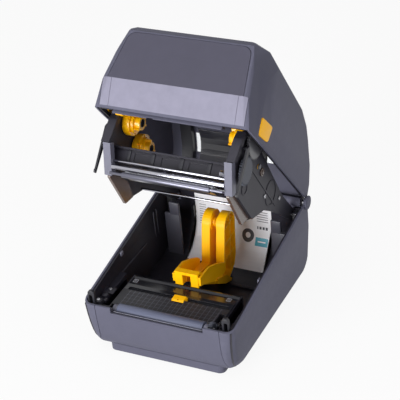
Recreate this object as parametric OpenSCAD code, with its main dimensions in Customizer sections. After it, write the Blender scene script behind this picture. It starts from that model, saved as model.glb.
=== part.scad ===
// Desktop thermal transfer label printer with its lid standing open.
// Base, lid and print carriage are drawn closed, then swung open about their own hinges.

/* [Base] */
// Width across the rim of the base
base_w = 202; // [190:1:244]
// Length of the base from the front rim to the rear wall
base_l = 243.75; // [225:0.25:294]
// Height of the front rim above the table
rim_h = 76; // [70:1:92]
// Rise of the rim from front to rear
rim_rise = 37.8; // [30:0.1:46]
// Thickness of the outer walls
wall = 2.5; // [1.8:0.1:3.2]
// Thickness of the inner tray
tray_wall = 2.5; // [1.8:0.1:3]
// Depth that the front panel tucks in towards its lower edge
front_tuck = 15; // [8:1:20]

/* [Lid] */
// Height of the lid's top above the front rim
lid_h = 112; // [100:1:136]
// Overhang of the lid's face in front of the rim
lid_overhang = 22.4; // [14:0.2:27]
// Height of the pale band across the lid's front
band_h = 32.5; // [24:0.5:40]
// Thickness of the lid's walls
lid_wall = 2.5; // [1.8:0.1:3.2]
// Angle that the lid stands open
lid_open = 59.46; // [40:0.01:60]
// Inset of the front cover's seam from the edges of the lid's face
cover_inset = 6; // [4:0.5:9]

/* [Carriage] */
// Angle that the print carriage stands open
carriage_open = 43; // [30:0.5:43]
// Thickness of the carriage's side plates
plate_t = 4; // [3:0.5:5]
// Radius of the front ribbon bar
bar_r = 3; // [2:0.1:3.4]
// Radius of the rear ribbon bar
thin_bar_r = 1.6; // [1:0.1:2]
// Radius of the ribbon hubs' flanges
hub_flange_r = 17; // [14:0.5:18]

/* [Platen] */
// Radius of the platen roller
platen_r = 8.2; // [7:0.1:8.4]
// Radius of the platen's shaft
shaft_r = 3; // [2.4:0.1:3.4]
// Gap for the label between the platen and the print head
print_gap = 0.55; // [0.4:0.05:1]

/* [Roll holders] */
// Width of each holder tower
holder_w = 11.5; // [9.5:0.5:14]
// Gap between the closed towers
holder_gap = 9; // [8.5:0.5:11]
// Radius of the tower's rounded top
holder_top_r = 16; // [13:0.5:18]
// Height of the roll's axis above the front rim
roll_axis_h = 23; // [18:1:25]

/* [Gears] */
// Tooth module of all gears and racks
gear_m = 1; // [0.8:0.05:1.05]
// Teeth on the platen gear
platen_teeth = 18; // [16:1:20]
// Teeth on the drive idler
idler_teeth = 20; // [18:1:22]
// Teeth on the motor pinion
pinion_teeth = 10; // [10:1:12]
// Teeth on the take-up gear
takeup_teeth = 44; // [40:1:46]
// Teeth on the transfer gear
transfer_teeth = 34; // [30:1:36]
// Teeth on the holders' pinion, an even number
holder_teeth = 12; // [12:2:14]

/* [Clearances] */
// Radial clearance of shafts that turn in bores
run_gap = 0.06; // [0.03:0.01:0.1]
// Clearance round buttons and other sliding pieces
slide_gap = 0.4; // [0.3:0.05:0.6]
// Clearance between the tray and the outer shell
tray_gap = 0.2; // [0.1:0.05:0.3]

/* [Hidden] */

half_w = base_w / 2;
front_y = -111;
rear_y = front_y + base_l;
floor_z = 12;
rim_slope = rim_rise / base_l;
function rim_z(y) = rim_h + rim_slope * (y - front_y);

// Places measured back from the front rim and up from its height
function fr(a, b) = [front_y + a, rim_h + b];

// Round fits and small common sizes
round_fn = 48;
small_fn = 32;
corner_r = 8;
screw_r = 1.5;
reach = 40;

// Hinges
hinge_y = rear_y - 2.55;
hinge_z = rim_z(rear_y) - 1.8;
hinge_r = 3;
barrel_r = 7;
ear_r = 7;
lid_clear_r = 8;
pivot_y = rear_y - 9.75;
pivot_z = rim_z(rear_y) - 18.8;
pivot_r = 3;
eye_r = 6.5;

// Widths across the machine, from the middle plane outwards
foot_half = half_w - 5;
seam_x = half_w - 18;
plate_in = half_w - 21;
plate_out = plate_in + plate_t;
block_in = half_w - 27;
guide_in = half_w - 25;
channel_in = half_w - 26.5;
channel_out = half_w - 15.5;
deck_half = half_w - 28;
platen_half = half_w - 43.5;
notch_half = platen_half + 2.5;
gear_x = plate_out + 3.4;
gear_t = 3.5;
hook_in = half_w - 9.8;
hook_out = hook_in + 2.5;
post_in = half_w - 13.4;
post_out = half_w - 6.4;
post_y = front_y + 6.5;
post_t = 4;
arm_in = half_w - 6.1;
arm_out = half_w - 4.8;
pillar_in = half_w - 15;
pillar_out = half_w - 7;

// Deck, trough and tub
ledge_z = rim_h - 16;
island_z = rim_h - 12;
trough_z = rim_h - 22;
trough_back = front_y + 20.5;
deck_top = rim_h - 9.5;
groove_y = front_y + 56;
groove_w = 6;
groove_h = 4;
sensor_x = 4;
sensor_half = 9;
deck_back = front_y + 86;
tub_floor = floor_z + wall + tray_gap + tray_wall;
cradle_r = 52;
tub_back = rear_y - wall - tray_gap - tray_wall - 0.55;
cradle_y = tub_back - cradle_r;
cradle_z = tub_floor + cradle_r;
cradle_steps = 12;

// Platen and its gear train
platen_y = front_y + 14;
platen_z = rim_h - 10.5;
deck_front = platen_y + platen_r + 0.8;
well_front = platen_y - gear_m * (platen_teeth / 2 + 0.9) - 0.4;
bearing_w = 5.5;
bearing_back = 6.2;
bearing_in = platen_half + 1;
train_x = bearing_in + bearing_w + 0.6;
train_t = 5;
idler_dir = -47;
idler_c = [platen_y, platen_z]
    + gear_m * (platen_teeth + idler_teeth) / 2 * [cos(idler_dir), sin(idler_dir)];
pinion_dir = -62;
pinion_c = idler_c
    + gear_m * (idler_teeth + pinion_teeth) / 2 * [cos(pinion_dir), sin(pinion_dir)];
motor_r = 16.5;
motor_l = 24;
motor_flange_t = 2;
motor_base = floor_z + wall;
motor_x = train_x - 2.2;
idler_hub_r = 3.4;
stud_r = 2;

// Roll holders
roll_y = rear_y - 60.75;
roll_z = rim_h + roll_axis_h;
holder_in = holder_gap / 2;
holder_out = holder_in + holder_w;
foot_z = island_z + 0.4;
foot_gap = 0.4;
rack_z = tub_floor + 0.3;
rack_t = 3;
rack_w = 5;
rack_l = plate_in - holder_out - 4;
rack_y = roll_y - 11;
holder_low = rack_z + rack_t + 0.8;
holder_pinion_r = gear_m * holder_teeth / 2;
knob_r = 6.2;
core_r = 11;

// Carriage places in the closed machine
bar_c = fr(17, 9.6);
thin_bar_c = fr(18.1, 17.3);
head_r = 3.5;
head_end_r = 1.8;
head_c = [platen_y + 2, platen_z + sqrt(pow(platen_r + head_r + print_gap, 2) - 4)];
takeup_c = fr(40.5, 71);
supply_c = fr(80.8, 48.4);
transfer_dir = -103;
transfer_c = takeup_c
    + gear_m * (takeup_teeth + transfer_teeth) / 2 * [cos(transfer_dir), sin(transfer_dir)];
hub_shaft_r = 3;
shield_r = 36;
shield_t = 1.6;

// Lid outline in the closed machine
lid_top = rim_h + lid_h;
lid_gap = 2.5;
crease_y = front_y + 25;
crease_top_y = front_y + 7;
side_lean = 0.0383;
band_top = rim_h + lid_gap + band_h;
face_y = front_y - lid_overhang;
lip_h = 3;
function lid_side(z) = half_w - side_lean * (z - rim_h - lid_gap);
function lid_low(y) = rim_z(y) + lid_gap;

// Latches and panel
panel_y = front_y + 38;
panel_t = 1.6;
window_half = 61;

// Middle of the whole printer, lid open, from front to rear
lid_back_y = hinge_y + max([for (p = lid_outline())
    (p[0] - hinge_y) * cos(lid_open) + (p[1] - hinge_z) * sin(lid_open)]);
centre_y = (front_y + lid_back_y) / 2;

// ---- Plane geometry ----
function unit(v) = v / norm(v);

// An outline given anticlockwise, moved inwards by d
function inset(p, d) = [for (i = [0 : len(p) - 1])
    let (a = p[(i + len(p) - 1) % len(p)], b = p[i], c = p[(i + 1) % len(p)],
        u = unit([b[0] - a[0], b[1] - a[1]]), v = unit([c[0] - b[0], c[1] - b[1]]),
        nu = [-u[1], u[0]], nv = [-v[1], v[0]])
    [b[0], b[1]] + d * (nu + nv) / (1 + nu * nv)];

function arc(c, r, from, to, steps) = [for (i = [0 : steps])
    let (t = from + (to - from) * i / steps) [c[0] + r * cos(t), c[1] + r * sin(t)]];

// Outline of the base in side view, moved inwards by in and cut off at top above the rim
function base_outline(in, top) = let (lift = floor_z + in, back = rear_y - in,
    curve_h = rim_h + min(top, 0) - lift) concat(
    [[front_y + in, rim_z(front_y) + top]],
    top > 0 ? [[front_y + in, rim_h]] : [],
    [for (t = [75 : -15 : 0])
        [front_y + in + front_tuck * (1 - sin(t)), lift + curve_h * (1 - cos(t))]],
    arc([back - 20, lift + 20], 20, -90, 0, 6),
    [[back, rim_z(rear_y) + top]]);

// Outline of the lid in side view, anticlockwise from the front's lower edge,
// each point with its half width, or 0 where the flat side gives it
function lid_outline() = [
    [front_y, lid_low(front_y), half_w - 1],
    [crease_y, lid_low(crease_y), 0],
    [hinge_y + 2.8, hinge_z + 5.5, 0],
    [hinge_y - 4.2, hinge_z + 24, 0],
    [hinge_y - 22.2, lid_top - 33, 0],
    [hinge_y - 53.2, lid_top - 14, 0],
    [hinge_y - 73.2, lid_top - 4.2, 0],
    [hinge_y - 95.2, lid_top, 0],
    [crease_top_y, lid_top, 0],
    [face_y + 14.4, lid_top, half_w - 10.7],
    [face_y + 5.4, lid_top - 4.5, half_w - 14],
    [face_y, lid_top - 12.5, half_w - 15],
    [face_y + 4.4, band_top, half_w - 6.7],
];
crease_index = 8;

// Teeth of a gear whose tooth 0 points along the angle phase
function gear_points(teeth, phase) = let (p = 360 / teeth, r = gear_m * teeth / 2,
    root = r - 1.25 * gear_m, tip = r + 0.9 * gear_m) [for (i = [0 : teeth - 1])
    for (k = [[-0.27, root], [-0.11, tip], [0.11, tip], [0.27, root]])
        let (t = phase + (i + k[0]) * p) [k[1] * cos(t), k[1] * sin(t)]];

// Phase of a gear that meshes with a gear along the direction dir
function mesh_phase(dir, phase, teeth, mate) =
    dir + 180 - (0.5 - (dir - phase) * teeth / 360) * 360 / mate;

// ---- Solid building blocks ----
// A side-view outline, standing between two widths
module slab(points, x0, x1) {
    translate([x0, 0, 0]) rotate([90, 0, 90]) linear_extrude(x1 - x0) polygon(points);
}

module rod(x0, x1, c, r, fn = round_fn) {
    translate([x0, c[0], c[1]]) rotate([0, 90, 0]) cylinder(h = x1 - x0, r = r, $fn = fn);
}

module box(x0, x1, y0, y1, z0, z1) {
    translate([x0, y0, z0]) cube([x1 - x0, y1 - y0, z1 - z0]);
}

module both_sides() {
    children();
    mirror([1, 0, 0]) children();
}

module gear(x0, t, c, teeth, phase, bore) {
    difference() {
        translate([0, c[0], c[1]]) slab(gear_points(teeth, phase), x0, x0 + t);
        if (bore > 0) rod(x0 - 1, x0 + t + 1, c, bore);
    }
}

// The body of the base, moved inwards by in and cut off at top above the rim
module base_block(in, top) {
    intersection() {
        slab(base_outline(in, top), -half_w, half_w);
        translate([0, rear_y, 0]) rotate([90, 0, 0]) linear_extrude(base_l)
            polygon([[-foot_half + in, 0], [foot_half - in, 0], [foot_half - in, floor_z],
                [half_w - in, rim_h], [half_w - in, rim_z(rear_y) + reach],
                [in - half_w, rim_z(rear_y) + reach], [in - half_w, rim_h],
                [in - foot_half, floor_z]]);
    }
}

// The body of the lid, moved inwards by in
module lid_block(in) {
    raw = lid_outline();
    flat = inset(raw, in);
    n = len(raw);
    c = crease_index;
    w = [for (i = [0 : n - 1]) (raw[i][2] > 0 ? raw[i][2] : lid_side(flat[i][1])) - in];
    polyhedron(
        points = concat([for (i = [0 : n - 1]) [w[i], flat[i][0], flat[i][1]]],
            [for (i = [0 : n - 1]) [-w[i], flat[i][0], flat[i][1]]]),
        faces = concat(
            [for (i = [0 : n - 1]) let (j = (i + 1) % n) [i, j, n + j, n + i]],
            [[for (i = [c : -1 : 1]) i], [for (i = [1 : c]) n + i]],
            [for (i = [c : n - 1]) [(i + 1) % n, i, 1]],
            [for (i = [c : n - 1]) [n + 1, n + i, n + (i + 1) % n]]));
}

// Body frames: the base as it stands, the lid and the carriage swung open
module on_base() {
    translate([0, -centre_y, 0]) children();
}

module swung(angle, y, z) {
    on_base() translate([0, y, z]) rotate([-angle, 0, 0]) translate([0, -y, -z]) children();
}

module on_lid() {
    swung(lid_open, hinge_y, hinge_z) children();
}

module on_carriage() {
    swung(carriage_open, pivot_y, pivot_z) children();
}

// ---- Base ----
module shell_front_cut(gap) {
    box(-seam_x - gap, seam_x + gap, front_y - 1, front_y + front_tuck + 1.5,
        floor_z + 1 - gap, rim_h + reach);
}

module base_shell() {
    color("#50505c") on_base() difference() {
        union() {
            difference() {
                base_block(0, 0);
                base_block(wall, reach);
                shell_front_cut(0);
                box(-half_w + wall, half_w - wall, rear_y - wall - 1, rear_y + 1,
                    hinge_z, hinge_z + reach);
            }
            both_sides() rod(half_w - wall, half_w, [hinge_y, hinge_z], ear_r);
            rod(-pillar_out, pillar_out, [hinge_y, hinge_z], barrel_r);
        }
        rod(-half_w - 1, half_w + 1, [hinge_y, hinge_z], hinge_r + run_gap);
        both_sides() box(pillar_out, half_w - wall, rear_y - wall - 1, rear_y + 1,
            hinge_z - ear_r, hinge_z + reach);
        power_hole(slide_gap);
        data_hole(slide_gap);
        // Vents in the rear wall, and the screws' holes in the floor
        for (x = [-30 : 6 : 30]) box(x, x + 3, rear_y - wall - 1, rear_y + 1, 60, 84);
        screw_places() translate([0, 0, floor_z - 1])
            cylinder(h = wall + 2, r = screw_r + run_gap, $fn = small_fn);
    }
}

module front_cover() {
    color("#74747f") on_base() difference() {
        intersection() {
            difference() {
                base_block(0, 0);
                base_block(wall, reach);
            }
            shell_front_cut(-slide_gap);
        }
        box(-notch_half, notch_half, front_y - 1, front_y + wall + 1, rim_h - 7, rim_h + 1);
    }
}

module tub_space() {
    intersection() {
        slab(concat([[deck_back + tray_wall, rim_h + reach],
                [deck_back + tray_wall, tub_floor + 22], [deck_back + 17, tub_floor]],
            arc([cradle_y, cradle_z], cradle_r, -90, 0, cradle_steps),
            [[tub_back, rim_h + 2 * reach]]), -half_w, half_w);
        base_block(wall + tray_gap + tray_wall, 2 * reach);
    }
}

module board_bay() {
    intersection() {
        slab([[front_y + 5.6, 0], [deck_back + 14, 0], [deck_back, tub_floor + 20],
            [deck_back, ledge_z - tray_wall], [trough_back + 1, ledge_z - tray_wall],
            [trough_back + 1, trough_z - tray_wall], [front_y + 5.6, trough_z - tray_wall]],
            -half_w, half_w);
        translate([0, 0, -10]) base_block(wall + tray_gap + tray_wall, 2 * reach);
    }
}

module inner_tray() {
    color("#24242b") on_base() {
        tray_body();
        // Stud for the holders' pinion
        translate([0, rack_y, tub_floor - 1]) cylinder(h = rack_t + 2.3, r = stud_r,
            $fn = round_fn);
    }
}

module tray_body() {
    difference() {
        base_block(wall + tray_gap, -1.5);
        tub_space();
        board_bay();
        // Space behind the cradle for the sockets
        intersection() {
            slab(concat([[cradle_y + 12, 0], [rear_y, 0], [rear_y, cradle_z - 22]],
                arc([cradle_y, cradle_z], cradle_r + tray_wall, -25, -76, 6)),
                -half_w, half_w);
            translate([0, 0, -10]) base_block(wall + tray_gap + tray_wall, 0);
        }
        power_hole(slide_gap);
        data_hole(slide_gap);
        // Deck, side islands and platen trough, open above
        intersection() {
            box(-half_w, half_w, front_y + 5, deck_back + tray_wall + 1,
                island_z, rim_h + reach);
            base_block(wall + tray_gap + tray_wall, reach);
        }
        box(-deck_half, deck_half, trough_back, deck_back + tray_wall + 1,
            ledge_z, rim_h + reach);
        box(-deck_half, deck_half, front_y + 4.5, trough_back + 1, trough_z, rim_h + reach);
        box(-notch_half, notch_half, front_y, front_y + 6, rim_h - 10, rim_h + reach);
        both_sides() box(channel_in, channel_out, trough_back - 1, deck_back + tray_wall + 1,
            rim_h - 36, rim_h + reach);
        // Clearance for the latch posts and for the motor with its plate
        both_sides() box(post_in - tray_gap, post_out + tray_gap, post_y - tray_gap,
            post_y + post_t + tray_gap, island_z, rim_h + reach);
        motor_space(slide_gap);
        // Well for the gear train
        box(train_x - 0.5, train_x + train_t + 0.8, front_y + 5.6, front_y + 46,
            floor_z, rim_h + reach);
        box(train_x - 0.5, train_x + train_t + 0.8, well_front, front_y + 46,
            trough_z, rim_h + reach);
        // Pockets in the rear wall for the eyes of the carriage's side plates
        both_sides() box(plate_in - 1, plate_out + 1, pivot_y - eye_r, rear_y,
            pivot_z - 2 * eye_r, rim_h + 2 * reach);
        // Rear corners, open for the lid's hinge arms
        both_sides() box(pillar_out, half_w, rear_y - 26, rear_y, hinge_z - 12, rim_h + 2 * reach);
        box(-half_w, half_w, rear_y - 22, rear_y, hinge_z - 9, rim_h + 2 * reach);
    }
}

module bottom_cover() {
    plinth_half = half_w - 23;
    plinth_front = front_y + 13;
    plinth_back = rear_y - 26;
    color("#5c5c68") on_base() difference() {
        translate([0, 0, 1]) linear_extrude(floor_z - 1) union() {
            translate([-plinth_half, plinth_front + corner_r])
                square([2 * plinth_half, plinth_back - plinth_front - 2 * corner_r]);
            translate([corner_r - plinth_half, plinth_front])
                square([2 * (plinth_half - corner_r), plinth_back - plinth_front]);
            for (x = [-1, 1], y = [plinth_front + corner_r, plinth_back - corner_r])
                translate([x * (plinth_half - corner_r), y]) circle(corner_r, $fn = small_fn);
        }
        // Hollow from above, with a boss round each screw
        difference() {
            box(wall - plinth_half, plinth_half - wall, plinth_front + corner_r,
                plinth_back - corner_r, head_z + 1.5, floor_z + 1);
            screw_places() cylinder(h = floor_z, r = 4.5, $fn = small_fn);
        }
        foot_places() cylinder(h = foot_h, r = foot_r + 0.2, $fn = round_fn);
        screw_places() cylinder(h = floor_z + 1, r = screw_r + 0.2, $fn = small_fn);
        screw_places() cylinder(h = head_z, r = 2 * screw_r + 0.3, $fn = small_fn);
    }
}

foot_r = 7;
foot_h = 2.2;
head_z = 3;
module foot_places() {
    for (x = [-1, 1], y = [front_y + 30, rear_y - 44])
        translate([x * (half_w - 39), y, 0]) children();
}

module screw_places() {
    for (x = [-1, 1], y = [front_y + 52, rear_y - 66])
        translate([x * (half_w - 39), y, 0]) children();
}

module rubber_feet() {
    color("#26262a") on_base() foot_places() cylinder(h = foot_h, r = foot_r, $fn = round_fn);
}

module base_screws() {
    color("silver") on_base() screw_places() difference() {
        union() {
            translate([0, 0, head_z - 1.6]) cylinder(h = 1.6, r = 2 * screw_r, $fn = small_fn);
            translate([0, 0, head_z]) cylinder(h = floor_z + wall - head_z - 0.2,
                r = screw_r, $fn = small_fn);
        }
        translate([0, 0, head_z - 2]) cylinder(h = 1.2, r = 0.9, $fn = 6);
    }
}

module deck_plate() {
    top = deck_top;
    color("#18181d") on_base() difference() {
        slab([[deck_front, ledge_z], [deck_back + tray_wall, ledge_z],
            [deck_back + tray_wall, top - 3], [deck_back - 1, top - 2], [deck_back - 3, top - 4],
            [deck_back - 18, top - 1], [deck_front + 1.5, top], [deck_front, top - 1.5]],
            0.3 - deck_half, deck_half - 0.3);
        // Track for the sliding sensor
        box(6 - deck_half, deck_half - 5, groove_y, groove_y + groove_w,
            top - groove_h, top + 1);
        // Well over the gear train
        box(train_x - 0.5, train_x + train_t + 0.8, trough_back - 1, front_y + 46,
            ledge_z - 1, top + 1);
        // Fine grid of the label path
        for (i = [-9 : 9]) box(i * 6.2 - 0.3, i * 6.2 + 0.3, trough_back, groove_y - 8,
            top - 0.5, top + 1);
    }
}

module tear_bar() {
    front = front_y + wall + tray_gap + 0.4;
    color("#b8bac2") on_base() slab([[front, rim_h - 10],
        [front_y + 5, rim_h - 10], [front_y + 5, rim_h - 8], [front_y + 3.8, rim_h - 5],
        [front, rim_h - 5.6]], -notch_half + 0.5, notch_half - 0.5);
}

module platen_bearings() {
    color("#8c8f9c") on_base() both_sides() difference() {
        union() {
            box(bearing_in, bearing_in + bearing_w, platen_y - 6.4, platen_y + bearing_back,
                trough_z, platen_z);
            rod(bearing_in, bearing_in + bearing_w, [platen_y, platen_z], 6.1);
        }
        rod(bearing_in - 1, bearing_in + bearing_w + 1, [platen_y, platen_z],
            shaft_r + run_gap);
        motor_space(slide_gap);
    }
}

module latch_posts() {
    color("#15151a") on_base() both_sides() difference() {
        union() {
            box(post_in, post_out, post_y, post_y + post_t, island_z, rim_h + 10);
            translate([(post_in + post_out) / 2, post_y + post_t, rim_h + 10])
                rotate([90, 0, 0]) cylinder(h = post_t, r = (post_out - post_in) / 2,
                    $fn = small_fn);
        }
        box(post_in + 1.5, hook_out + 0.2, post_y - 1, post_y + post_t + 1,
            rim_h - 8, rim_h + 8);
    }
}

module hinge_shaft() {
    color("silver") on_base() rod(-half_w, half_w, [hinge_y, hinge_z], hinge_r);
}

module hinge_caps() {
    color("#3a3a44") on_base() both_sides()
        rod(half_w, half_w + 3, [hinge_y, hinge_z], ear_r - 0.4);
}

module carriage_pins() {
    color("silver") on_base() both_sides() {
        rod(plate_in - 2, pillar_in, [pivot_y, pivot_z], pivot_r);
        box(pillar_in, pillar_out, pivot_y - 7, tub_back, pivot_z - 24, pivot_z + 6);
    }
}

module main_board() {
    z = floor_z + wall + 2;
    color("#1f5a34") on_base() {
        box(-62, 34, front_y + 30, front_y + 74, z, z + 1.6);
        for (x = [-50, -22, 6]) box(x, x + 14, front_y + 40, front_y + 54, z + 1.6, z + 4.2);
        for (x = [-44, 20]) box(x, x + 18, front_y + 60, front_y + 68, z + 1.6, z + 9);
        for (x = [-58, 30], y = [34, 70]) translate([x, front_y + y, floor_z + wall])
            cylinder(h = 2, r = 2.4, $fn = small_fn);
    }
}

port_z = floor_z + wall + 3.4;
port_board_h = 18;
board_y = rear_y - wall - 11.5;
port_face = rear_y - 5;
module power_hole(gap) {
    translate([34, rear_y + 1, port_z + 10]) rotate([90, 0, 0])
        cylinder(h = 10, r = 5.4 + gap, $fn = small_fn);
}

module data_hole(gap) {
    box(-38 - gap, -26 + gap, rear_y - 9, rear_y + 1, port_z + 4 - gap, port_z + 15 + gap);
}

module port_board() {
    color("#1f5a34") on_base() {
        box(-52, 52, board_y, board_y + 1.6, port_z, port_z + port_board_h);
        for (x = [-46, 46]) box(x - 4, x + 4, board_y - 3, board_y, port_z - 1.3, port_z + 8);
    }
}

module power_inlet() {
    color("#1a1a1e") on_base() translate([34, port_face, port_z + 10]) rotate([90, 0, 0])
        difference() {
            cylinder(h = port_face - board_y - 1.6, r = 5.4, $fn = small_fn);
            translate([0, 0, -1]) cylinder(h = 7, r = 3.2, $fn = small_fn);
        }
}

module data_port() {
    color("#b4b6bc") on_base() difference() {
        box(-38, -26, board_y + 1.6, port_face, port_z + 4, port_z + 15);
        difference() {
            box(-37, -27, port_face - 6, port_face + 1, port_z + 5, port_z + 14);
            box(-34, -30, port_face - 7, port_face - 1, port_z + 7, port_z + 12);
        }
    }
}

// The motor's body, and the plate that carries the idler, behind the platen's bearing
module motor_space(gap) {
    rod(motor_x - motor_l - gap, motor_x + gap, pinion_c, motor_r + gap);
    box(motor_x - motor_flange_t - gap, motor_x + gap,
        max(idler_c[0] - 5, platen_y + bearing_back + slide_gap) - gap, idler_c[0] + 5 + gap,
        pinion_c[1], idler_c[1] + 4 + gap);
    if (gap > 0) rod(motor_x - gap, train_x, idler_c, idler_hub_r + gap);
}

module drive_motor() {
    color("#9a9ca4") on_base() difference() {
        union() {
            motor_space(0);
            intersection() {
                slab([pinion_c + [-21, 6], [pinion_c[0] - 21, motor_base + 6],
                    [pinion_c[0] - 16, motor_base], [pinion_c[0] + 21, motor_base],
                    pinion_c + [21, 6]], motor_x - motor_flange_t, motor_x);
                base_block(wall, 0);
            }
            rod(motor_x, motor_x + 0.8, pinion_c, 5);
            rod(motor_x, train_x + train_t, idler_c, stud_r);
        }
        rod(motor_x - 8, motor_x + 2, pinion_c, 1.5 + run_gap);
        for (y = [-19, 19]) rod(motor_x - 3, motor_x + 1, pinion_c + [y, 0], 1.6, small_fn);
    }
}

module info_sheet() {
    t = 0.35;
    lift = 0.1;
    out = arc([cradle_y, cradle_z], cradle_r - lift, -75, 0, 10);
    in = arc([cradle_y, cradle_z], cradle_r - lift - t, 0, -75, 10);
    top = cradle_z + 30;
    color("#e6e6ec") on_base() slab(concat(out, [[tub_back - lift, top],
        [tub_back - lift - t, top]], in), -57.7, 51.5);
}

module cradle_rib() {
    color("#0e0e12") on_base() slab(concat(
        arc([cradle_y, cradle_z], cradle_r - 0.1, -60, 15, 10),
        arc([cradle_y, cradle_z], cradle_r - 6, 15, -60, 10)), -61, -58);
}

// ---- Platen and drive ----
module platen_roller() {
    color("#5d6675") on_base() difference() {
        rod(-platen_half, platen_half, [platen_y, platen_z], platen_r);
        rod(-platen_half - 1, platen_half + 1, [platen_y, platen_z], shaft_r);
    }
}

module platen_shaft() {
    color("silver") on_base() rod(-bearing_in - bearing_w - 1, train_x + train_t + 1,
        [platen_y, platen_z], shaft_r);
}

platen_phase = 0;
idler_phase = mesh_phase(idler_dir, platen_phase, platen_teeth, idler_teeth);
pinion_phase = mesh_phase(pinion_dir, idler_phase, idler_teeth, pinion_teeth);

module platen_gear() {
    color("#3c3f48") on_base() gear(train_x, train_t, [platen_y, platen_z], platen_teeth,
        platen_phase, shaft_r);
}

module drive_idler() {
    color("#b0b2ba") on_base() difference() {
        union() {
            gear(train_x, train_t, idler_c, idler_teeth, idler_phase, 0);
            rod(motor_x + 0.3, train_x, idler_c, idler_hub_r);
        }
        rod(motor_x, train_x + train_t + 1, idler_c, stud_r + run_gap);
    }
}

module motor_pinion() {
    color("#c9a94e") on_base() union() {
        gear(train_x, train_t, pinion_c, pinion_teeth, pinion_phase, 0);
        rod(motor_x - 6, train_x, pinion_c, 1.5);
    }
}

// ---- Roll holders ----
// Side view of a holder: foot on the deck's rear edge, then the leaning tower
function holder_outline() = concat(
    [[deck_back + 0.8, foot_z], [deck_back + 9, foot_z], [deck_back + 46, rim_h - 36],
        [roll_y - 30, tub_floor + 9], [roll_y - 14, holder_low],
        [roll_y - 8, holder_low], [roll_y - 6, holder_low + 2],
        [roll_y + 8, tub_floor + 14], [roll_y + 15, tub_floor + 28]],
    arc([roll_y + 4, roll_z - 2], holder_top_r, -8, 168, 12),
    [[roll_y - 22, rim_h - 28], [deck_back + 46, rim_h - 24], [deck_back + 9, rim_h + 8],
        [deck_back + 0.8, rim_h + 8]]);

module holder() {
    rib_y = roll_y - 47;
    difference() {
        union() {
            // Foot and tower in one wall each side of the pocket
            slab(holder_outline(), holder_in, holder_out);
            box(foot_gap / 2, holder_in, deck_back + 0.8, deck_back + 9,
                rim_h + 4, rim_h + 8);
            slab([[deck_back + 9, rim_h + 2], [deck_back + 46, rim_h - 27],
                [deck_back + 46, rim_h - 24], [deck_back + 9, rim_h + 5]],
                foot_gap / 2, holder_in);
            rod(holder_in - 1.2, holder_in, [roll_y, roll_z], core_r);
            rod(holder_in - 3.9, holder_in - 1.2, [roll_y, roll_z], knob_r);
            // Fin along the foot's outer side
            slab([[deck_back + 46, rim_h - 35], [roll_y - 30, tub_floor + 10],
                [roll_y - 14, holder_low], [roll_y - 12, holder_low + 3],
                [roll_y - 26, tub_floor + 21], [deck_back + 46, rim_h - 27]],
                holder_out - 1, holder_out + 4.5);
        }
        // Pocket open to the outside, with ribs left in it
        difference() {
            slab(inset(holder_outline(), 2.6), holder_in + 3, holder_out + 1);
            for (k = [0, 1, 2]) translate([0, 0, k * 22])
                slab([[rib_y, rim_h - 32], [roll_y + 30, rim_h - 20],
                    [roll_y + 30, rim_h - 18], [rib_y, rim_h - 30]],
                    holder_in, holder_out - 1.5);
            slab([[roll_y - 2, tub_floor + 6], [roll_y + 0.5, tub_floor + 6],
                [roll_y + 12, roll_z + 20], [roll_y + 9.5, roll_z + 20]],
                holder_in, holder_out - 1.5);
            slab([[deck_back + 9, rim_h - 40], [deck_back + 11.5, rim_h - 40],
                [deck_back + 11.5, rim_h + 8], [deck_back + 9, rim_h + 8]],
                holder_in, holder_out);
        }
        // Arch between the front legs
        box(0, 5.6, deck_back, deck_back + 9.2, rim_h - 14, rim_h + 4);
    }
}

// A straight rack whose tooth 0 lies over the pinion's axis, with the pad that carries
// the holder's tower
module rack(teeth_side) {
    pitch = PI * gear_m;
    count = floor(rack_l / pitch);
    back = rack_y + teeth_side * (holder_pinion_r + rack_w);
    root = rack_y + teeth_side * (holder_pinion_r + 1.25 * gear_m);
    tip = rack_y + teeth_side * (holder_pinion_r - 0.9 * gear_m);
    x1 = holder_out;
    points = concat(
        [for (i = [-count : 2]) for (k = [[-0.27, root], [-0.11, tip], [0.11, tip],
            [0.27, root]]) [(i + k[0]) * pitch, k[1]]],
        [[x1, root], [x1, back], [-(count + 0.6) * pitch, back],
            [-(count + 0.6) * pitch, root]]);
    translate([0, 0, rack_z]) linear_extrude(rack_t) polygon(points);
    box(holder_pinion_r + 3, holder_out, min(back, roll_y - 14), max(back, roll_y - 8),
        rack_z, holder_low);
}

module roll_holder_right() {
    color("#f0a414") on_base() holder();
}

module roll_holder_left() {
    color("#f0a414") on_base() mirror([1, 0, 0]) holder();
}

module rack_left() {
    color("#1c1c21") on_base() mirror([1, 0, 0]) rack(-1);
}

module rack_right() {
    color("#1c1c21") on_base() rack(1);
}

module holder_pinion() {
    color("#c8c8cc") on_base() translate([0, rack_y, rack_z]) difference() {
        union() {
            linear_extrude(rack_t) polygon(gear_points(holder_teeth, 180 / holder_teeth + 90));
            translate([0, 0, rack_t]) cylinder(h = 0.5, r = 3.6, $fn = small_fn);
        }
        translate([0, 0, -1]) cylinder(h = rack_t + 3, r = stud_r + run_gap, $fn = round_fn);
    }
}

module media_sensor() {
    top = deck_top;
    front = groove_y + 0.3;
    back = groove_y + groove_w - 0.3;
    color("#ffc400") on_base() translate([sensor_x, 0, 0]) difference() {
        union() {
            box(-sensor_half, sensor_half, front, back, top - groove_h + 0.3, top + 0.2);
            slab([[front - 6.3, top + 0.3], [back, top + 0.3], [back - 0.9, top + 2.2],
                [front - 3.3, top + 1.8]], 1 - sensor_half, sensor_half - 1);
            box(1 - sensor_half, sensor_half - 1, front, back, top + 0.2, top + 0.3);
        }
        translate([0, front - 3, top - 5]) cylinder(h = 9, r = 1.3, $fn = small_fn);
    }
}

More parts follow.
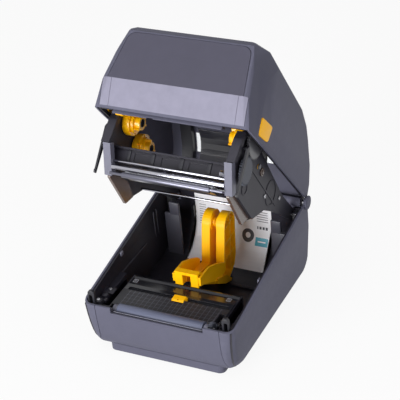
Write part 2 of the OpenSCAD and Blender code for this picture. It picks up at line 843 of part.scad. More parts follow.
// ---- Lid ----
module lid_hollow() {
    difference() {
        lid_block(0);
        lid_block(lid_wall);
        // Open underside
        difference() {
            slab([[front_y - 4, rim_h - 20], [hinge_y + 1, hinge_z - 30],
                [hinge_y + 1, hinge_z + 9], [front_y + lid_wall + 1.2, lid_low(front_y) + 4]],
                lid_wall - half_w + 0.7, half_w - lid_wall - 0.7);
            slab([[front_y - 5, rim_h - 30], [front_y + lid_wall * 0.6, rim_h - 30],
                [front_y + lid_wall * 0.6, lid_low(front_y) + 0.5],
                [front_y - 5, lid_low(front_y) + 9]], -half_w, half_w);
        }
        rod(-half_w - 1, half_w + 1, [hinge_y, hinge_z], lid_clear_r);
    }
}

module band_zone() {
    low = rim_h + lid_gap + lip_h;
    slab([[face_y - 5, low], [front_y + 3.2 - (low - rim_h) / 2, low],
        [face_y + 4.4 + 3.2, band_top], [face_y - 5, band_top]], -half_w, half_w);
}

// Front cover seen from the front, moved inwards by in
module cover_zone(in) {
    low = half_w - 6.7 - cover_inset - in;
    high = half_w - 14 - cover_inset - in;
    r = 12;
    translate([0, face_y + 8.5, 0]) rotate([90, 0, 0]) linear_extrude(14) polygon(concat(
        [[-low, band_top], [low, band_top]],
        arc([high - r, lid_top - cover_inset - 8 - in - r], r, 5, 90, 6),
        arc([r - high, lid_top - cover_inset - 8 - in - r], r, 90, 175, 6)));
}

// Clear window across the lid's back, moved inwards by in
module window_zone(in) {
    slab([[hinge_y - 46.2 + in, lid_top - 35], [hinge_y - 39.2 + in, lid_top - 10],
        [hinge_y - 4, lid_top - 10], [hinge_y - 4, lid_top - 36.7 + in],
        [hinge_y - 30, lid_top - 40.7 + in]], in - window_half, window_half - in);
}

function latch_outline() = [fr(29, 13), fr(61, 21), fr(60, 42), fr(23, 34)];

module latch_cut(gap) {
    slab(inset(latch_outline(), -gap), half_w - 8, half_w + 2);
}

module lid_shell() {
    color("#4a4a56") on_lid() difference() {
        lid_hollow();
        band_zone();
        cover_zone(0);
        window_zone(0);
        both_sides() latch_cut(slide_gap);
        panel_cut();
    }
}

module lid_front_cover() {
    color("#5b5b67") on_lid() intersection() {
        lid_hollow();
        cover_zone(0.3);
    }
}

module lid_band() {
    color("#a3a3b8") on_lid() intersection() {
        lid_hollow();
        band_zone();
    }
}

module lid_window() {
    color([0.85, 0.88, 0.92, 0.4]) on_lid() intersection() {
        lid_hollow();
        window_zone(0.2);
    }
}

module lid_inner_frame() {
    rail_h = 6;
    front = front_y + lid_wall + 1.4;
    low = lid_low(front);
    back = hinge_y - 12;
    color("#202027") on_lid() {
        both_sides() difference() {
            union() {
                slab([[front, low + 1], [back, lid_low(back)], [back, lid_low(back) + rail_h],
                    [front, low + rail_h]], arm_in, arm_out);
                slab([[back, lid_low(back)], [hinge_y, hinge_z - 6], [hinge_y + 3, hinge_z + 1],
                    [hinge_y - 6.5, hinge_z + 14], [back, hinge_z + 24],
                    [back - 12, lid_low(back) + rail_h]], arm_in, arm_out);
                rod(arm_in, arm_out, [hinge_y, hinge_z], 6);
            }
            rod(arm_in - 1, arm_out + 1, [hinge_y, hinge_z], hinge_r + run_gap);
        }
        // Strip along the front, and the flange that turns inwards from it
        slab([[front, low + 1], [front + 1.5, low + 1], [front - 0.9, low + rail_h],
            [front - 3.1, low + rail_h], [front - 1.9, low + 3], [front, low + 3]],
            -arm_in - 0.5, arm_in + 0.5);
        slab([[front + 0.6, low + 1], [front_y + 11, rim_h + 4.2], [front_y + 11, rim_h + 6],
            [front + 0.2, low + 3]], 8 - block_in, block_in - 8);
    }
}

// Control panel set in the lid's top, towards its front
panel_half = 46;
module panel_cut() {
    box(-panel_half - 0.2, panel_half + 0.2, panel_y - 0.2, panel_y + 22.2,
        lid_top - panel_t, lid_top + 1);
    for (i = [0 : 2]) translate([button_x(i), panel_y + 11, lid_top - 4])
        cylinder(h = 4, r = button_r + slide_gap, $fn = small_fn);
}

button_r = 5;
function button_x(i) = -30 + 18 * i;

module control_panel() {
    color("#141418") on_lid() difference() {
        box(-panel_half, panel_half, panel_y, panel_y + 22, lid_top - panel_t, lid_top + 0.2);
        for (i = [0 : 2]) translate([button_x(i), panel_y + 11, lid_top - 4])
            cylinder(h = 6, r = button_r + slide_gap, $fn = small_fn);
        for (i = [0 : 4]) translate([20 + 5 * i, panel_y + 11, lid_top - 4])
            cylinder(h = 6, r = 1.5, $fn = small_fn);
    }
}

module status_lenses() {
    color("#58c878") on_lid() for (i = [0 : 4])
        translate([20 + 5 * i, panel_y + 11, lid_top - panel_t])
            cylinder(h = panel_t + 0.4, r = 1.5, $fn = small_fn);
}

module panel_button(i) {
    on_lid() translate([button_x(i), panel_y + 11, 0]) {
        translate([0, 0, lid_top - panel_t]) cylinder(h = panel_t + 1.8, r = button_r,
            $fn = small_fn);
        translate([0, 0, lid_top - lid_wall - 2]) cylinder(h = 3.2, r = 3, $fn = small_fn);
    }
}

module power_button() {
    color("#d8d8de") panel_button(0);
}

module pause_button() {
    color("#8e8e9a") panel_button(1);
}

module feed_button() {
    color("#8e8e9a") panel_button(2);
}

module latch_button() {
    difference() {
        slab(latch_outline(), half_w - 4.6, half_w + 0.4);
        slab(inset(latch_outline(), 2), half_w - 5, half_w - 1.6);
    }
}

module latch_button_left() {
    color("#f5c000") on_lid() mirror([1, 0, 0]) latch_button();
}

module latch_button_right() {
    color("#f5c000") on_lid() latch_button();
}

// ---- Carriage ----
function block_outline() = [fr(23, -1), fr(32, 4), fr(8, 37), fr(-1.5, 34)];

function plate_outline() = concat(
    [fr(32, 4), fr(56.2, -2.3), fr(99.5, -13), fr(130, 4),
        [pivot_y - 71.1, pivot_z - 10.3], [pivot_y - 8, pivot_z - 8]],
    arc([pivot_y, pivot_z], eye_r, -70, 90, 6),
    [[pivot_y - 53.3, pivot_z + 14.6], fr(74.4, 68.4), fr(58, 84), fr(30, 84), fr(21, 75),
        fr(15, 65), fr(8, 38), fr(8, 37)]);

module side_plate() {
    difference() {
        union() {
            slab(plate_outline(), plate_in, plate_out);
            slab([fr(-1, 35), fr(8, 38), fr(15, 65), fr(21, 75), fr(12, 75), fr(6, 65)],
                block_in + 2, plate_out + 3);
        }
        rod(plate_in - 1, plate_out + 1, [pivot_y, pivot_z], pivot_r + run_gap);
        rod(plate_in - 1, plate_out + 1, takeup_c, hub_shaft_r + run_gap);
        rod(plate_in - 1, plate_out + 1, supply_c, hub_shaft_r + run_gap);
        rod(plate_in - 1, plate_out + 1, transfer_c, 2 + run_gap);
        rod(plate_in - 1, plate_out + 1, hook_c, 2 + run_gap);
    }
}

module side_plate_left() {
    color("#3d3f4c") on_carriage() mirror([1, 0, 0]) side_plate();
}

module side_plate_right() {
    color("#3d3f4c") on_carriage() side_plate();
}

module front_blocks() {
    color("#9c9cab") on_carriage() both_sides()
        slab(block_outline(), block_in, plate_out);
}

module head_bracket() {
    color("#26262e") on_carriage() difference() {
        union() {
            slab([fr(26, 15.5), fr(29, 15.5), fr(29, 34), fr(38, 34), fr(38, 36.4),
                fr(22, 36.4), fr(22, 34), fr(26, 34)], -plate_in, plate_in);
            for (x = [-40, -4, 32]) slab([fr(29, 7.8), fr(34, 7.8), fr(36, 34), fr(29, 34)],
                x, x + 5);
        }
        for (x = [-52, -16, 20]) box(x, x + 22, front_y + 25, front_y + 27.4,
            rim_h + 19, rim_h + 31);
    }
}

module print_head() {
    color("#70737e") on_carriage() {
        rod(-block_in, block_in, head_c, head_end_r);
        rod(-platen_half, platen_half, head_c, head_r);
        slab([[head_c[0], head_c[1] - 1.5], [front_y + 22, head_c[1] - 1.5],
            [front_y + 22, head_c[1] + 1.5], [head_c[0], head_c[1] + 1.5]],
            -platen_half, platen_half);
    }
}

module heat_sink() {
    low = head_c[1] - rim_h - 1.5;
    color("#b9bcc4") on_carriage() {
        slab([fr(22, low), fr(40, low), fr(40, 4.6), fr(22, 4.6)], -platen_half, platen_half);
        for (i = [0 : 5]) slab([fr(21.6 + 3 * i, 4.6), fr(23 + 3 * i, 4.6),
            fr(23 + 3 * i, 7.8), fr(21.6 + 3 * i, 7.8)], -platen_half, platen_half);
    }
}

module ribbon_bars() {
    color("#d9d9de") on_carriage() {
        rod(-block_in, block_in, bar_c, bar_r);
        rod(-block_in, block_in, thin_bar_c, thin_bar_r);
    }
}

module ribbon_guides() {
    color("#4a3430") on_carriage() both_sides()
        slab([fr(23.5, -3), fr(81.4, -24), fr(97, -12), fr(71, 3), fr(56, 3.4), fr(32, 4),
            fr(23, -1)], guide_in, plate_in);
}

module ribbon_strip() {
    color("#e4e4ea") on_carriage() rod(-plate_in, plate_in, fr(121, 3), 1.6);
}

module ribbon_shield() {
    from = -68;
    to = 75;
    color("#3a3b46") on_carriage() {
        slab(concat(arc(supply_c, shield_r + shield_t, from, to, 12),
            arc(supply_c, shield_r, to, from, 12)), -9, plate_in);
    }
}

// A hub on a stub shaft: flange, two cones' steps and three drive ribs, facing inwards
module hub(c, shaft_end) {
    end = plate_in - 1;
    difference() {
        union() {
            rod(end - 10, end - 1, c, hub_flange_r);
            rod(end - 13, end - 10, c, hub_flange_r - 4);
            rod(end - 20, end - 13, c, 8.6);
            rod(end - 1, shaft_end, c, hub_shaft_r);
            for (k = [0 : 2]) translate([end - 20, c[0], c[1]]) rotate([120 * k, 0, 0])
                translate([0, 7, -1]) cube([8, 4.6, 2]);
        }
        rod(end - 21, end - 15, c, 5.4);
        for (k = [0 : 5]) translate([0, c[0], c[1]]) rotate([60 * k, 0, 0])
            translate([end - 11, hub_flange_r - 3.2, -1.2]) cube([3, 5, 2.4]);
    }
}

module takeup_hub_left() {
    color("#f0a414") on_carriage() mirror([1, 0, 0]) union() {
        hub(takeup_c, plate_out + 1);
        slab([takeup_c + [-18.6, 1], takeup_c + [-15, 1], takeup_c + [-15, 5.5],
            takeup_c + [-18.2, 5.5]], plate_in - 7, plate_in - 2);
    }
}

module takeup_hub_right() {
    color("#f0a414") on_carriage() union() {
        hub(takeup_c, gear_x);
        gear(gear_x, gear_t, takeup_c, takeup_teeth, 0, 0);
    }
}

module supply_hub_left() {
    color("#e08a1c") on_carriage() mirror([1, 0, 0]) hub(supply_c, plate_out + 1);
}

module supply_hub_right() {
    color("#e08a1c") on_carriage() hub(supply_c, plate_out + 2.4);
}

transfer_phase = mesh_phase(transfer_dir, 0, takeup_teeth, transfer_teeth);
module transfer_gear() {
    color("#8f929c") on_carriage() union() {
        gear(gear_x, gear_t, transfer_c, transfer_teeth, transfer_phase, 0);
        rod(plate_in + 0.3, gear_x, transfer_c, 2);
    }
}

hook_c = fr(16, 56);
module latch_hook() {
    union() {
        slab([fr(12, -2), fr(15.6, -2), fr(18.5, 30), hook_c + [3.4, 0], hook_c + [0, 4],
            hook_c + [-3.4, 0], fr(12.4, 30), fr(12.4, 3), fr(11.2, 2.4), fr(11.2, 0)],
            hook_in, hook_out);
        rod(plate_in - 1, hook_in, hook_c, 2);
    }
}

module latch_hook_left() {
    color("#1b1b21") on_carriage() mirror([1, 0, 0]) latch_hook();
}

module latch_hook_right() {
    color("#1b1b21") on_carriage() latch_hook();
}

base_shell();
front_cover();
inner_tray();
bottom_cover();
rubber_feet();
deck_plate();
tear_bar();
platen_bearings();
latch_posts();
hinge_shaft();
hinge_caps();
carriage_pins();
main_board();
port_board();
power_inlet();
data_port();
drive_motor();
info_sheet();
cradle_rib();
base_screws();
platen_roller();
platen_shaft();
platen_gear();
drive_idler();
motor_pinion();
roll_holder_left();
roll_holder_right();
rack_left();
rack_right();
holder_pinion();
media_sensor();
lid_shell();
lid_front_cover();
lid_band();
lid_window();
lid_inner_frame();
control_panel();
status_lenses();
power_button();
pause_button();
feed_button();
latch_button_left();
latch_button_right();
side_plate_left();
side_plate_right();
front_blocks();
head_bracket();
print_head();
heat_sink();
ribbon_bars();
ribbon_guides();
ribbon_strip();
ribbon_shield();
takeup_hub_left();
takeup_hub_right();
supply_hub_left();
supply_hub_right();
transfer_gear();
latch_hook_left();
latch_hook_right();
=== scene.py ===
"""Desktop thermal transfer label printer, lid open: surfaces, small parts and studio."""
import math

import bmesh
import bpy
from mathutils import Matrix, Vector

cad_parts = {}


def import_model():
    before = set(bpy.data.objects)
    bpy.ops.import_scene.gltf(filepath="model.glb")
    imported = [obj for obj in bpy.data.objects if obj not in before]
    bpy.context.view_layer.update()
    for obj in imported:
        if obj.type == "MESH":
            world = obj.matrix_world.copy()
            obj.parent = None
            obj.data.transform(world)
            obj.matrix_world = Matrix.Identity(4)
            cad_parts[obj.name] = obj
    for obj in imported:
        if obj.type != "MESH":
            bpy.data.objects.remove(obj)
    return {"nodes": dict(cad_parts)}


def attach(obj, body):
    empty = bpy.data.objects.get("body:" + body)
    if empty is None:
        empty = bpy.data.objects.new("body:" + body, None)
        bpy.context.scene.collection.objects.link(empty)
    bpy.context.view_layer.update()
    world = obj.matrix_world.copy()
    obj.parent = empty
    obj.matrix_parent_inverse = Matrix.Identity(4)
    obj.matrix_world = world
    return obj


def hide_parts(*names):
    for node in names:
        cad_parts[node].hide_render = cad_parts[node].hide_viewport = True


bl_info = {
    "name": "Label Printer",
    "version": (1, 0, 0),
    "blender": (4, 5, 0),
    "location": "View3D > Sidebar > Label Printer",
    "description": "Builds the surfaces and small parts of a desktop label printer",
    "category": "Object",
}

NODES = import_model()["nodes"]
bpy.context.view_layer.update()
MM = 0.001


# ---- Settings that a user would change ----
def colour_property(name, description, colour):
    return bpy.props.FloatVectorProperty(
        name=name, description=description, subtype="COLOR", size=3, min=0, max=1,
        default=colour)


def length_property(name, description, millimetres):
    return bpy.props.FloatProperty(
        name=name, description=description, unit="LENGTH", subtype="DISTANCE",
        default=millimetres * MM, min=0)


def number_property(name, description, default, unit="NONE"):
    return bpy.props.FloatProperty(name=name, description=description, unit=unit,
                                   default=default)


class LabelPrinterColours(bpy.types.PropertyGroup):
    shell: colour_property("Shell", "Moulded casing of base and lid", (0.088, 0.088, 0.124))
    cover: colour_property("Cover", "Front cover of the lid", (0.068, 0.066, 0.092))
    band: colour_property("Band", "Pale band across the lid", (0.19, 0.185, 0.245))
    inner: colour_property("Inner black", "Tray and frames inside", (0.016, 0.015, 0.022))
    slate: colour_property("Slate", "Side plates of the carriage", (0.026, 0.025, 0.034))
    block: colour_property("Block grey", "Front blocks and bearings", (0.11, 0.11, 0.15))
    touch: colour_property("Touch yellow", "Pieces that the user moves", (1.0, 0.50, 0.001))
    platen: colour_property("Platen", "Rubber of the platen roller", (0.085, 0.095, 0.15))
    paper: colour_property("Paper", "Information sheet", (0.8, 0.8, 0.84))
    ink: colour_property("Ink", "Blue print on the sheet", (0.02, 0.3, 0.42))


class LabelPrinterSizes(bpy.types.PropertyGroup):
    small_edge: length_property("Small edge", "Rounding of small moulded edges", 0.4)
    seam: length_property("Seam", "Width of the seams between covers", 0.5)


class LabelPrinterStudio(bpy.types.PropertyGroup):
    lens: number_property("Lens", "Camera's focal length in millimetres", 135.25, "CAMERA")
    key: number_property("Key", "Power of the key light", 80, "POWER")
    fill: number_property("Fill", "Power of the fill and top lights", 9, "POWER")
    room: number_property("Room", "Strength of the even light", 0.34)


def colours():
    return bpy.context.scene.label_printer_colours


def sizes():
    return bpy.context.scene.label_printer_sizes


def studio():
    return bpy.context.scene.label_printer_studio


# ---- Node groups that several finishes use ----
def new_group(name, inputs, outputs):
    """An empty shader group: its tree, what it is given, and its output node."""
    group = bpy.data.node_groups.new(name, "ShaderNodeTree")

    def add(socket, way):
        kind = "NodeSocketColor" if socket == "Colour" else "NodeSocketFloat"
        return group.interface.new_socket(socket, in_out=way, socket_type=kind)

    for socket, default in inputs.items():
        add(socket, "INPUT").default_value = default
    for socket in outputs:
        add(socket, "OUTPUT")
    given = group.nodes.new("NodeGroupInput").outputs
    return group, given, group.nodes.new("NodeGroupOutput")


def feed(tree, node, inputs):
    """Sets each of those inputs of the node, or links a socket to it."""
    for name, value in inputs.items():
        if isinstance(value, bpy.types.NodeSocket):
            tree.links.new(value, node.inputs[name])
        else:
            node.inputs[name].default_value = value


def new_node(tree, kind, inputs, **settings):
    """A shader node of that kind, with its settings and its inputs set or linked."""
    node = tree.nodes.new("ShaderNode" + kind)
    for name, value in settings.items():
        setattr(node, name, value)
    feed(tree, node, inputs)
    return node


def object_place(tree):
    """The Object coordinates."""
    return new_node(tree, "TexCoord", {}).outputs["Object"]


def noise(tree, scale, detail):
    """A noise texture on Object coordinates."""
    return new_node(tree, "TexNoise",
                    {"Vector": object_place(tree), "Scale": scale, "Detail": detail})


def maths(tree, operation, first, second=0.0):
    """A Math node's result; each input is a number or a socket."""
    return new_node(tree, "Math", {0: first, 1: second}, operation=operation).outputs[0]


def mixed(tree, factor, first, second):
    """A colour mix; each input is a socket, or else a number or a colour."""
    return new_node(tree, "Mix", {"Factor": factor, 6: first, 7: second},
                    data_type="RGBA").outputs[2]


def product(tree, first, second):
    return maths(tree, "MULTIPLY", first, second)


def added(tree, first, second):
    return maths(tree, "ADD", first, second)


def less(tree, first, second):
    return maths(tree, "LESS_THAN", first, second)


def swing_about_zero(tree, texture):
    """The texture's value moved to swing about 0."""
    return maths(tree, "SUBTRACT", texture.outputs["Fac"], 0.5)


def moulded_group():
    """Fine spark-eroded grain with slow changes of tone and gloss."""
    group, given, end = new_group(
        "Moulded grain",
        {"Colour": (0.1, 0.1, 0.1, 1), "Tone": 0.1, "Grain Scale": 2500,
         "Roughness": 0.5, "Gloss Change": 0.08}, ("Colour", "Roughness", "Height"))
    slow = noise(group, 18, 3)
    fine = noise(group, given["Grain Scale"], 1)
    tone = product(group, swing_about_zero(group, slow), given["Tone"])
    speck = product(group, swing_about_zero(group, fine), given["Tone"])
    hue = new_node(group, "HueSaturation", {
        "Color": given["Colour"], "Value": added(group, added(group, tone, speck), 1.0)})
    gloss = product(group, swing_about_zero(group, slow), given["Gloss Change"])
    feed(group, end, {"Colour": hue.outputs["Color"],
                      "Roughness": added(group, given["Roughness"], gloss),
                      "Height": fine.outputs["Fac"]})
    return group


def worn_group():
    """Paler edges where hands and pieces rub, from the pointiness it is given."""
    group, given, end = new_group(
        "Rubbed edges", {"Colour": (0.1, 0.1, 0.1, 1), "Pointiness": 0.5, "Amount": 0.3},
        ("Colour",))
    spots = noise(group, 90, 4)
    edge = new_node(group, "MapRange", {"Value": given["Pointiness"], "From Min": 0.51,
                                        "From Max": 0.58})
    share = product(group, product(group, edge.outputs["Result"], spots.outputs["Fac"]),
                    given["Amount"])
    paler = new_node(group, "HueSaturation", {"Color": given["Colour"], "Value": 1.9})
    feed(group, end, {
        "Colour": mixed(group, share, given["Colour"], paler.outputs["Color"])})
    return group


def drawn_group():
    """Fine lines along X, as on drawn or ground metal."""
    group, given, end = new_group("Drawn lines", {"Roughness": 0.25, "Spread": 0.15},
                                  ("Roughness", "Height"))
    stretch = new_node(group, "Mapping", {"Vector": object_place(group),
                                          "Scale": (40, 2600, 2600)})
    lines = new_node(group, "TexNoise", {"Vector": stretch.outputs["Vector"], "Scale": 1})
    change = product(group, swing_about_zero(group, lines), given["Spread"])
    feed(group, end, {"Roughness": added(group, given["Roughness"], change),
                      "Height": lines.outputs["Fac"]})
    return group


GROUP_MAKERS = {"Moulded grain": moulded_group, "Rubbed edges": worn_group,
                "Drawn lines": drawn_group}


def place_group(tree, name, inputs):
    """A group node, whose group is built the first time that it is asked for."""
    group = bpy.data.node_groups.get(name) or GROUP_MAKERS[name]()
    return new_node(tree, "Group", inputs, node_tree=group)


# ---- Finishes ----
def new_material(name, colour):
    material = bpy.data.materials.new(name)
    material.use_nodes = True
    material.diffuse_color = (*colour, 1)
    return material, material.node_tree, material.node_tree.nodes["Principled BSDF"]


def add_bump(tree, shader, height, strength, distance):
    bump = new_node(tree, "Bump", {"Height": height, "Strength": strength,
                                   "Distance": distance})
    feed(tree, shader, {"Normal": bump.outputs["Normal"]})


def moulded(name, colour, roughness=0.5, tone=0.1, grain=2500, bump=0.25, wear=0.3,
            coat=0.0, specular=0.5):
    """Moulded plastic with its grain, changes of tone and rubbed edges."""
    material, tree, shader = new_material(name, colour)
    grainy = place_group(tree, "Moulded grain", {
        "Colour": (*colour, 1), "Tone": tone, "Grain Scale": grain, "Roughness": roughness})
    geometry = new_node(tree, "NewGeometry", {})
    rubbed = place_group(tree, "Rubbed edges", {
        "Colour": grainy.outputs["Colour"], "Pointiness": geometry.outputs["Pointiness"],
        "Amount": wear})
    feed(tree, shader, {
        "Base Color": rubbed.outputs["Colour"], "Roughness": grainy.outputs["Roughness"],
        "Coat Weight": coat, "Coat Roughness": 0.12, "Specular IOR Level": specular})
    add_bump(tree, shader, grainy.outputs["Height"], bump, 0.0001)
    return material


def drawn_metal(name, colour, roughness=0.2, spread=0.15, bump=0.1):
    """Bright metal with fine lines along its length."""
    material, tree, shader = new_material(name, colour)
    lines = place_group(tree, "Drawn lines", {"Roughness": roughness, "Spread": spread})
    feed(tree, shader, {"Base Color": (*colour, 1), "Metallic": 1,
                        "Roughness": lines.outputs["Roughness"]})
    add_bump(tree, shader, lines.outputs["Height"], bump, 0.00005)
    return material


def along(tree, axis):
    """The Object coordinate along one axis, in millimetres."""
    parts = new_node(tree, "SeparateXYZ", {0: object_place(tree)})
    return product(tree, parts.outputs[axis], 1 / MM)


def within(tree, value, centre, half):
    """1 where the value lies no more than half from the centre, else 0."""
    off = maths(tree, "ABSOLUTE", maths(tree, "SUBTRACT", value, centre))
    return less(tree, off, half)


def either(tree, first, second):
    return maths(tree, "MAXIMUM", first, second)


def stripes(tree, value, step, half):
    """1 on stripes that lie twice the step apart and are twice the half wide, else 0."""
    return less(tree, maths(tree, "PINGPONG", value, step), half)


def tint_over(tree, shader, mask, colour):
    """Lays another colour over the shader's own where the mask is 1."""
    own = shader.inputs["Base Color"].links[0].from_socket
    feed(tree, shader, {"Base Color": mixed(tree, mask, own, (*colour, 1))})


def ruled_deck(name, colour):
    """Black deck: matt with fine ruled lines in front, glossy behind its groove."""
    material = moulded(name, colour, 0.16, 0.1, bump=0.03, wear=0.2, specular=0.42)
    tree = material.node_tree
    shader = tree.nodes["Principled BSDF"]
    x, y = along(tree, 0), along(tree, 1)
    front = within(tree, y, -94, 16.5)
    lines = product(tree, either(tree, stripes(tree, x, 3.1, 0.34), stripes(tree, y, 3.4, 0.22)),
                    within(tree, x, 0, 64))
    tint_over(tree, shader, product(tree, lines, front), (0.085, 0.085, 0.11))
    own = shader.inputs["Roughness"].links[0].from_socket
    feed(tree, shader, {"Roughness": added(tree, own, product(tree, front, 0.3))})
    return material


def hub_plastic(name, colour):
    """Yellow hub whose gear and shaft outside the side plate are dark grey."""
    material = moulded(name, colour, 0.3, 0.1, wear=0.1, coat=0.15)
    tree = material.node_tree
    outside = maths(tree, "GREATER_THAN", maths(tree, "ABSOLUTE", along(tree, 0)), 84.3)
    tint_over(tree, tree.nodes["Principled BSDF"], outside, (0.06, 0.06, 0.07))
    return material


def printed_sheet(name, colour):
    """White sheet with plain printed shapes: rings, a bar and rows of short lines."""
    material = moulded(name, colour, 0.35, 0.04, bump=0.05, wear=0)
    tree = material.node_tree
    x, z = along(tree, 0), along(tree, 2)

    def disc(cx, cz, radius):
        dx, dz = maths(tree, "SUBTRACT", x, cx), maths(tree, "SUBTRACT", z, cz)
        far = added(tree, product(tree, dx, dx), product(tree, dz, dz))
        return less(tree, far, radius * radius)

    def patch(cx, cz, half_x, half_z):
        return product(tree, within(tree, x, cx, half_x), within(tree, z, cz, half_z))

    dark = (0.05, 0.055, 0.07)
    rows, steps = stripes(tree, z, 1.8, 0.55), stripes(tree, x, 2.2, 1.5)
    for mask, tint in (
            (disc(14, 80, 9.5), dark), (disc(14, 80, 6), (0.3, 0.33, 0.38)),
            (disc(18, 50, 8.5), dark), (disc(18, 50, 3.5), colour),
            (product(tree, rows, patch(38.5, 79, 8, 9)), (0.12, 0.12, 0.15)),
            (product(tree, steps, patch(38.5, 62, 8, 2)), dark),
            (patch(38, 44, 9, 5), colours().ink), (patch(38, 44, 5.5, 0.8), colour),
            (product(tree, rows, patch(-47, 70, 5, 16)), (0.2, 0.2, 0.24))):
        tint_over(tree, tree.nodes["Principled BSDF"], mask, tint)
    return material


def clear_sheet(name, colour):
    """Clear moulded window."""
    material, tree, shader = new_material(name, colour)
    grainy = place_group(tree, "Moulded grain", {"Roughness": 0.08})
    feed(tree, shader, {"Base Color": (*colour, 1), "Transmission Weight": 1, "IOR": 1.45,
                        "Roughness": grainy.outputs["Roughness"]})
    return material


# Each finish: its maker, the material's name, its colour or the setting that holds it, the
# maker's other values, and the slot that its pieces fill, None where only CAD nodes wear it
PANEL_BLACK = (0.012, 0.012, 0.016)
FINISHES = {
    "shell": (moulded, "Shell grey", "shell",
              {"roughness": 0.55, "tone": 0.12, "specular": 0.12}, "shell_grey"),
    "cover": (moulded, "Cover grey", "cover", {"roughness": 0.52, "specular": 0.12},
              "cover_grey"),
    "band": (moulded, "Band lavender", "band",
             {"roughness": 0.45, "tone": 0.05, "specular": 0.2}, "band_lavender"),
    "window": (clear_sheet, "Clear window", (0.92, 0.94, 0.96), {}, "window_clear"),
    "inner": (moulded, "Inner black", "inner",
              {"roughness": 0.38, "tone": 0.2, "wear": 0.6, "specular": 0.3}, "inner_black"),
    "panel": (moulded, "Tray panel", (0.045, 0.045, 0.06), {"roughness": 0.4, "tone": 0.2},
              "inner_black"),
    "matt": (moulded, "Matt black", (0.014, 0.014, 0.019),
             {"roughness": 0.42, "tone": 0.2, "wear": 0.5, "specular": 0.35}, "deck_gloss"),
    "slate": (moulded, "Plate slate", "slate",
              {"roughness": 0.45, "tone": 0.2, "specular": 0.2}, "plate_slate"),
    "block": (moulded, "Block grey", "block", {"roughness": 0.45}, "block_grey"),
    "touch": (moulded, "Touch yellow", "touch",
              {"roughness": 0.4, "tone": 0.08, "wear": 0.1, "specular": 0.25},
              "touch_yellow"),
    "amber": (moulded, "Amber ring", (0.75, 0.22, 0.01),
              {"roughness": 0.3, "tone": 0.08, "wear": 0.1}, "touch_yellow"),
    "print_grey": (moulded, "Print grey", (0.25, 0.25, 0.28), {"tone": 0.05, "wear": 0},
                   "sheet_white"),
    "steel": (drawn_metal, "Bright steel", (0.5, 0.5, 0.53), {"roughness": 0.3},
              "bright_steel"),
    "chrome": (drawn_metal, "Chrome bar", (0.42, 0.42, 0.47),
               {"roughness": 0.14, "spread": 0.08, "bump": 0.03}, "chrome_bar"),
    "bronze": (moulded, "Guide bronze", (0.075, 0.045, 0.035),
               {"roughness": 0.25, "tone": 0.3, "coat": 0.3}, "guide_bronze"),
    "deck": (ruled_deck, "Deck black", PANEL_BLACK, {}, None),
    "gloss": (moulded, "Panel black", PANEL_BLACK,
              {"roughness": 0.2, "bump": 0.03, "wear": 0.2, "specular": 0.4}, None),
    "hub": (hub_plastic, "Hub yellow", "touch", {}, None),
    "smoke": (moulded, "Smoked shield", (0.035, 0.035, 0.045),
              {"roughness": 0.2, "tone": 0.15, "bump": 0.05, "wear": 0.2}, None),
    "gunmetal": (drawn_metal, "Dark steel", (0.09, 0.09, 0.11), {"roughness": 0.4}, None),
    "platen": (moulded, "Platen rubber", "platen", {"grain": 5000, "wear": 0.2}, None),
    "feet": (moulded, "Foot rubber", (0.02, 0.02, 0.02), {"roughness": 0.8, "tone": 0.2},
             None),
    "alloy": (drawn_metal, "Head alloy", (0.5, 0.51, 0.54), {"roughness": 0.35}, None),
    "head": (drawn_metal, "Head bar", (0.16, 0.16, 0.2), {"roughness": 0.34}, None),
    "brass": (drawn_metal, "Pinion brass", (0.65, 0.45, 0.16), {"roughness": 0.25}, None),
    "gear": (moulded, "Gear grey", (0.06, 0.065, 0.085),
             {"roughness": 0.45, "tone": 0.4, "specular": 0.2}, None),
    "board": (moulded, "Board green", (0.01, 0.09, 0.04),
              {"roughness": 0.3, "tone": 0.4, "grain": 900, "coat": 0.4}, None),
    "key": (moulded, "Key grey", (0.3, 0.3, 0.35), {"roughness": 0.45}, None),
    "lens": (moulded, "Lens green", (0.1, 0.5, 0.25),
             {"roughness": 0.15, "tone": 0.05, "coat": 0.5}, None),
    "paper": (printed_sheet, "Sheet white", "paper", {}, None),
}
MATERIALS = {}


def finish(name):
    """The material of that finish, made the first time that it is asked for."""
    if name not in MATERIALS:
        maker, label, colour, values = FINISHES[name][:4]
        if isinstance(colour, str):
            colour = tuple(getattr(colours(), colour))
        MATERIALS[name] = maker(label, colour, **values)
    return MATERIALS[name]


# ---- Drawing and shaping ----
# Pieces are drawn in millimetres as the printer stands shut, x to its right, y to its
# rear and z up; settle() swings what is on the lid or the carriage open with its body.
HINGE = (130.2, 112)
TURNS = {"base": (0, 0, 0), "lid": (59.46, *HINGE), "carriage": (43, 123, 95)}
TURN_OF = {"latch_left": "lid", "latch_right": "lid", "takeup_left": "carriage",
           "takeup_right": "carriage", "supply_left": "carriage",
           "supply_right": "carriage", "holder_left": "base", "holder_right": "base"}
REAR_SHIFT = -22.783
# Sizes that several pieces share, in millimetres
WALL = 2.5
HALF_WIDTH = 101
BASE_FRONT, BASE_REAR, BASE_FLOOR, RIM = -111, 132.75, 12, 76
ISLAND_TOP, DECK_TOP, MARK_TOP, PLATE_FACE = 64.2, 66.3, 66.65, 84
# How squarely a face or an edge has to point along an axis to be picked
SQUARELY = 0.9
# Edges turned by more than these are shaded sharp, and rounded
SHARP_TURN, ROUNDED_TURN = math.radians(32), math.radians(38)


def spot(x, y, z):
    return Vector((x, y, z)) * MM


def clear_selection():
    if bpy.context.object and bpy.context.object.mode != "OBJECT":
        bpy.ops.object.mode_set(mode="OBJECT")
    bpy.ops.object.select_all(action="DESELECT")


def take(piece):
    clear_selection()
    piece.select_set(True)
    bpy.context.view_layer.objects.active = piece


def named(piece, name):
    piece.name = name
    piece.data.name = name
    return piece


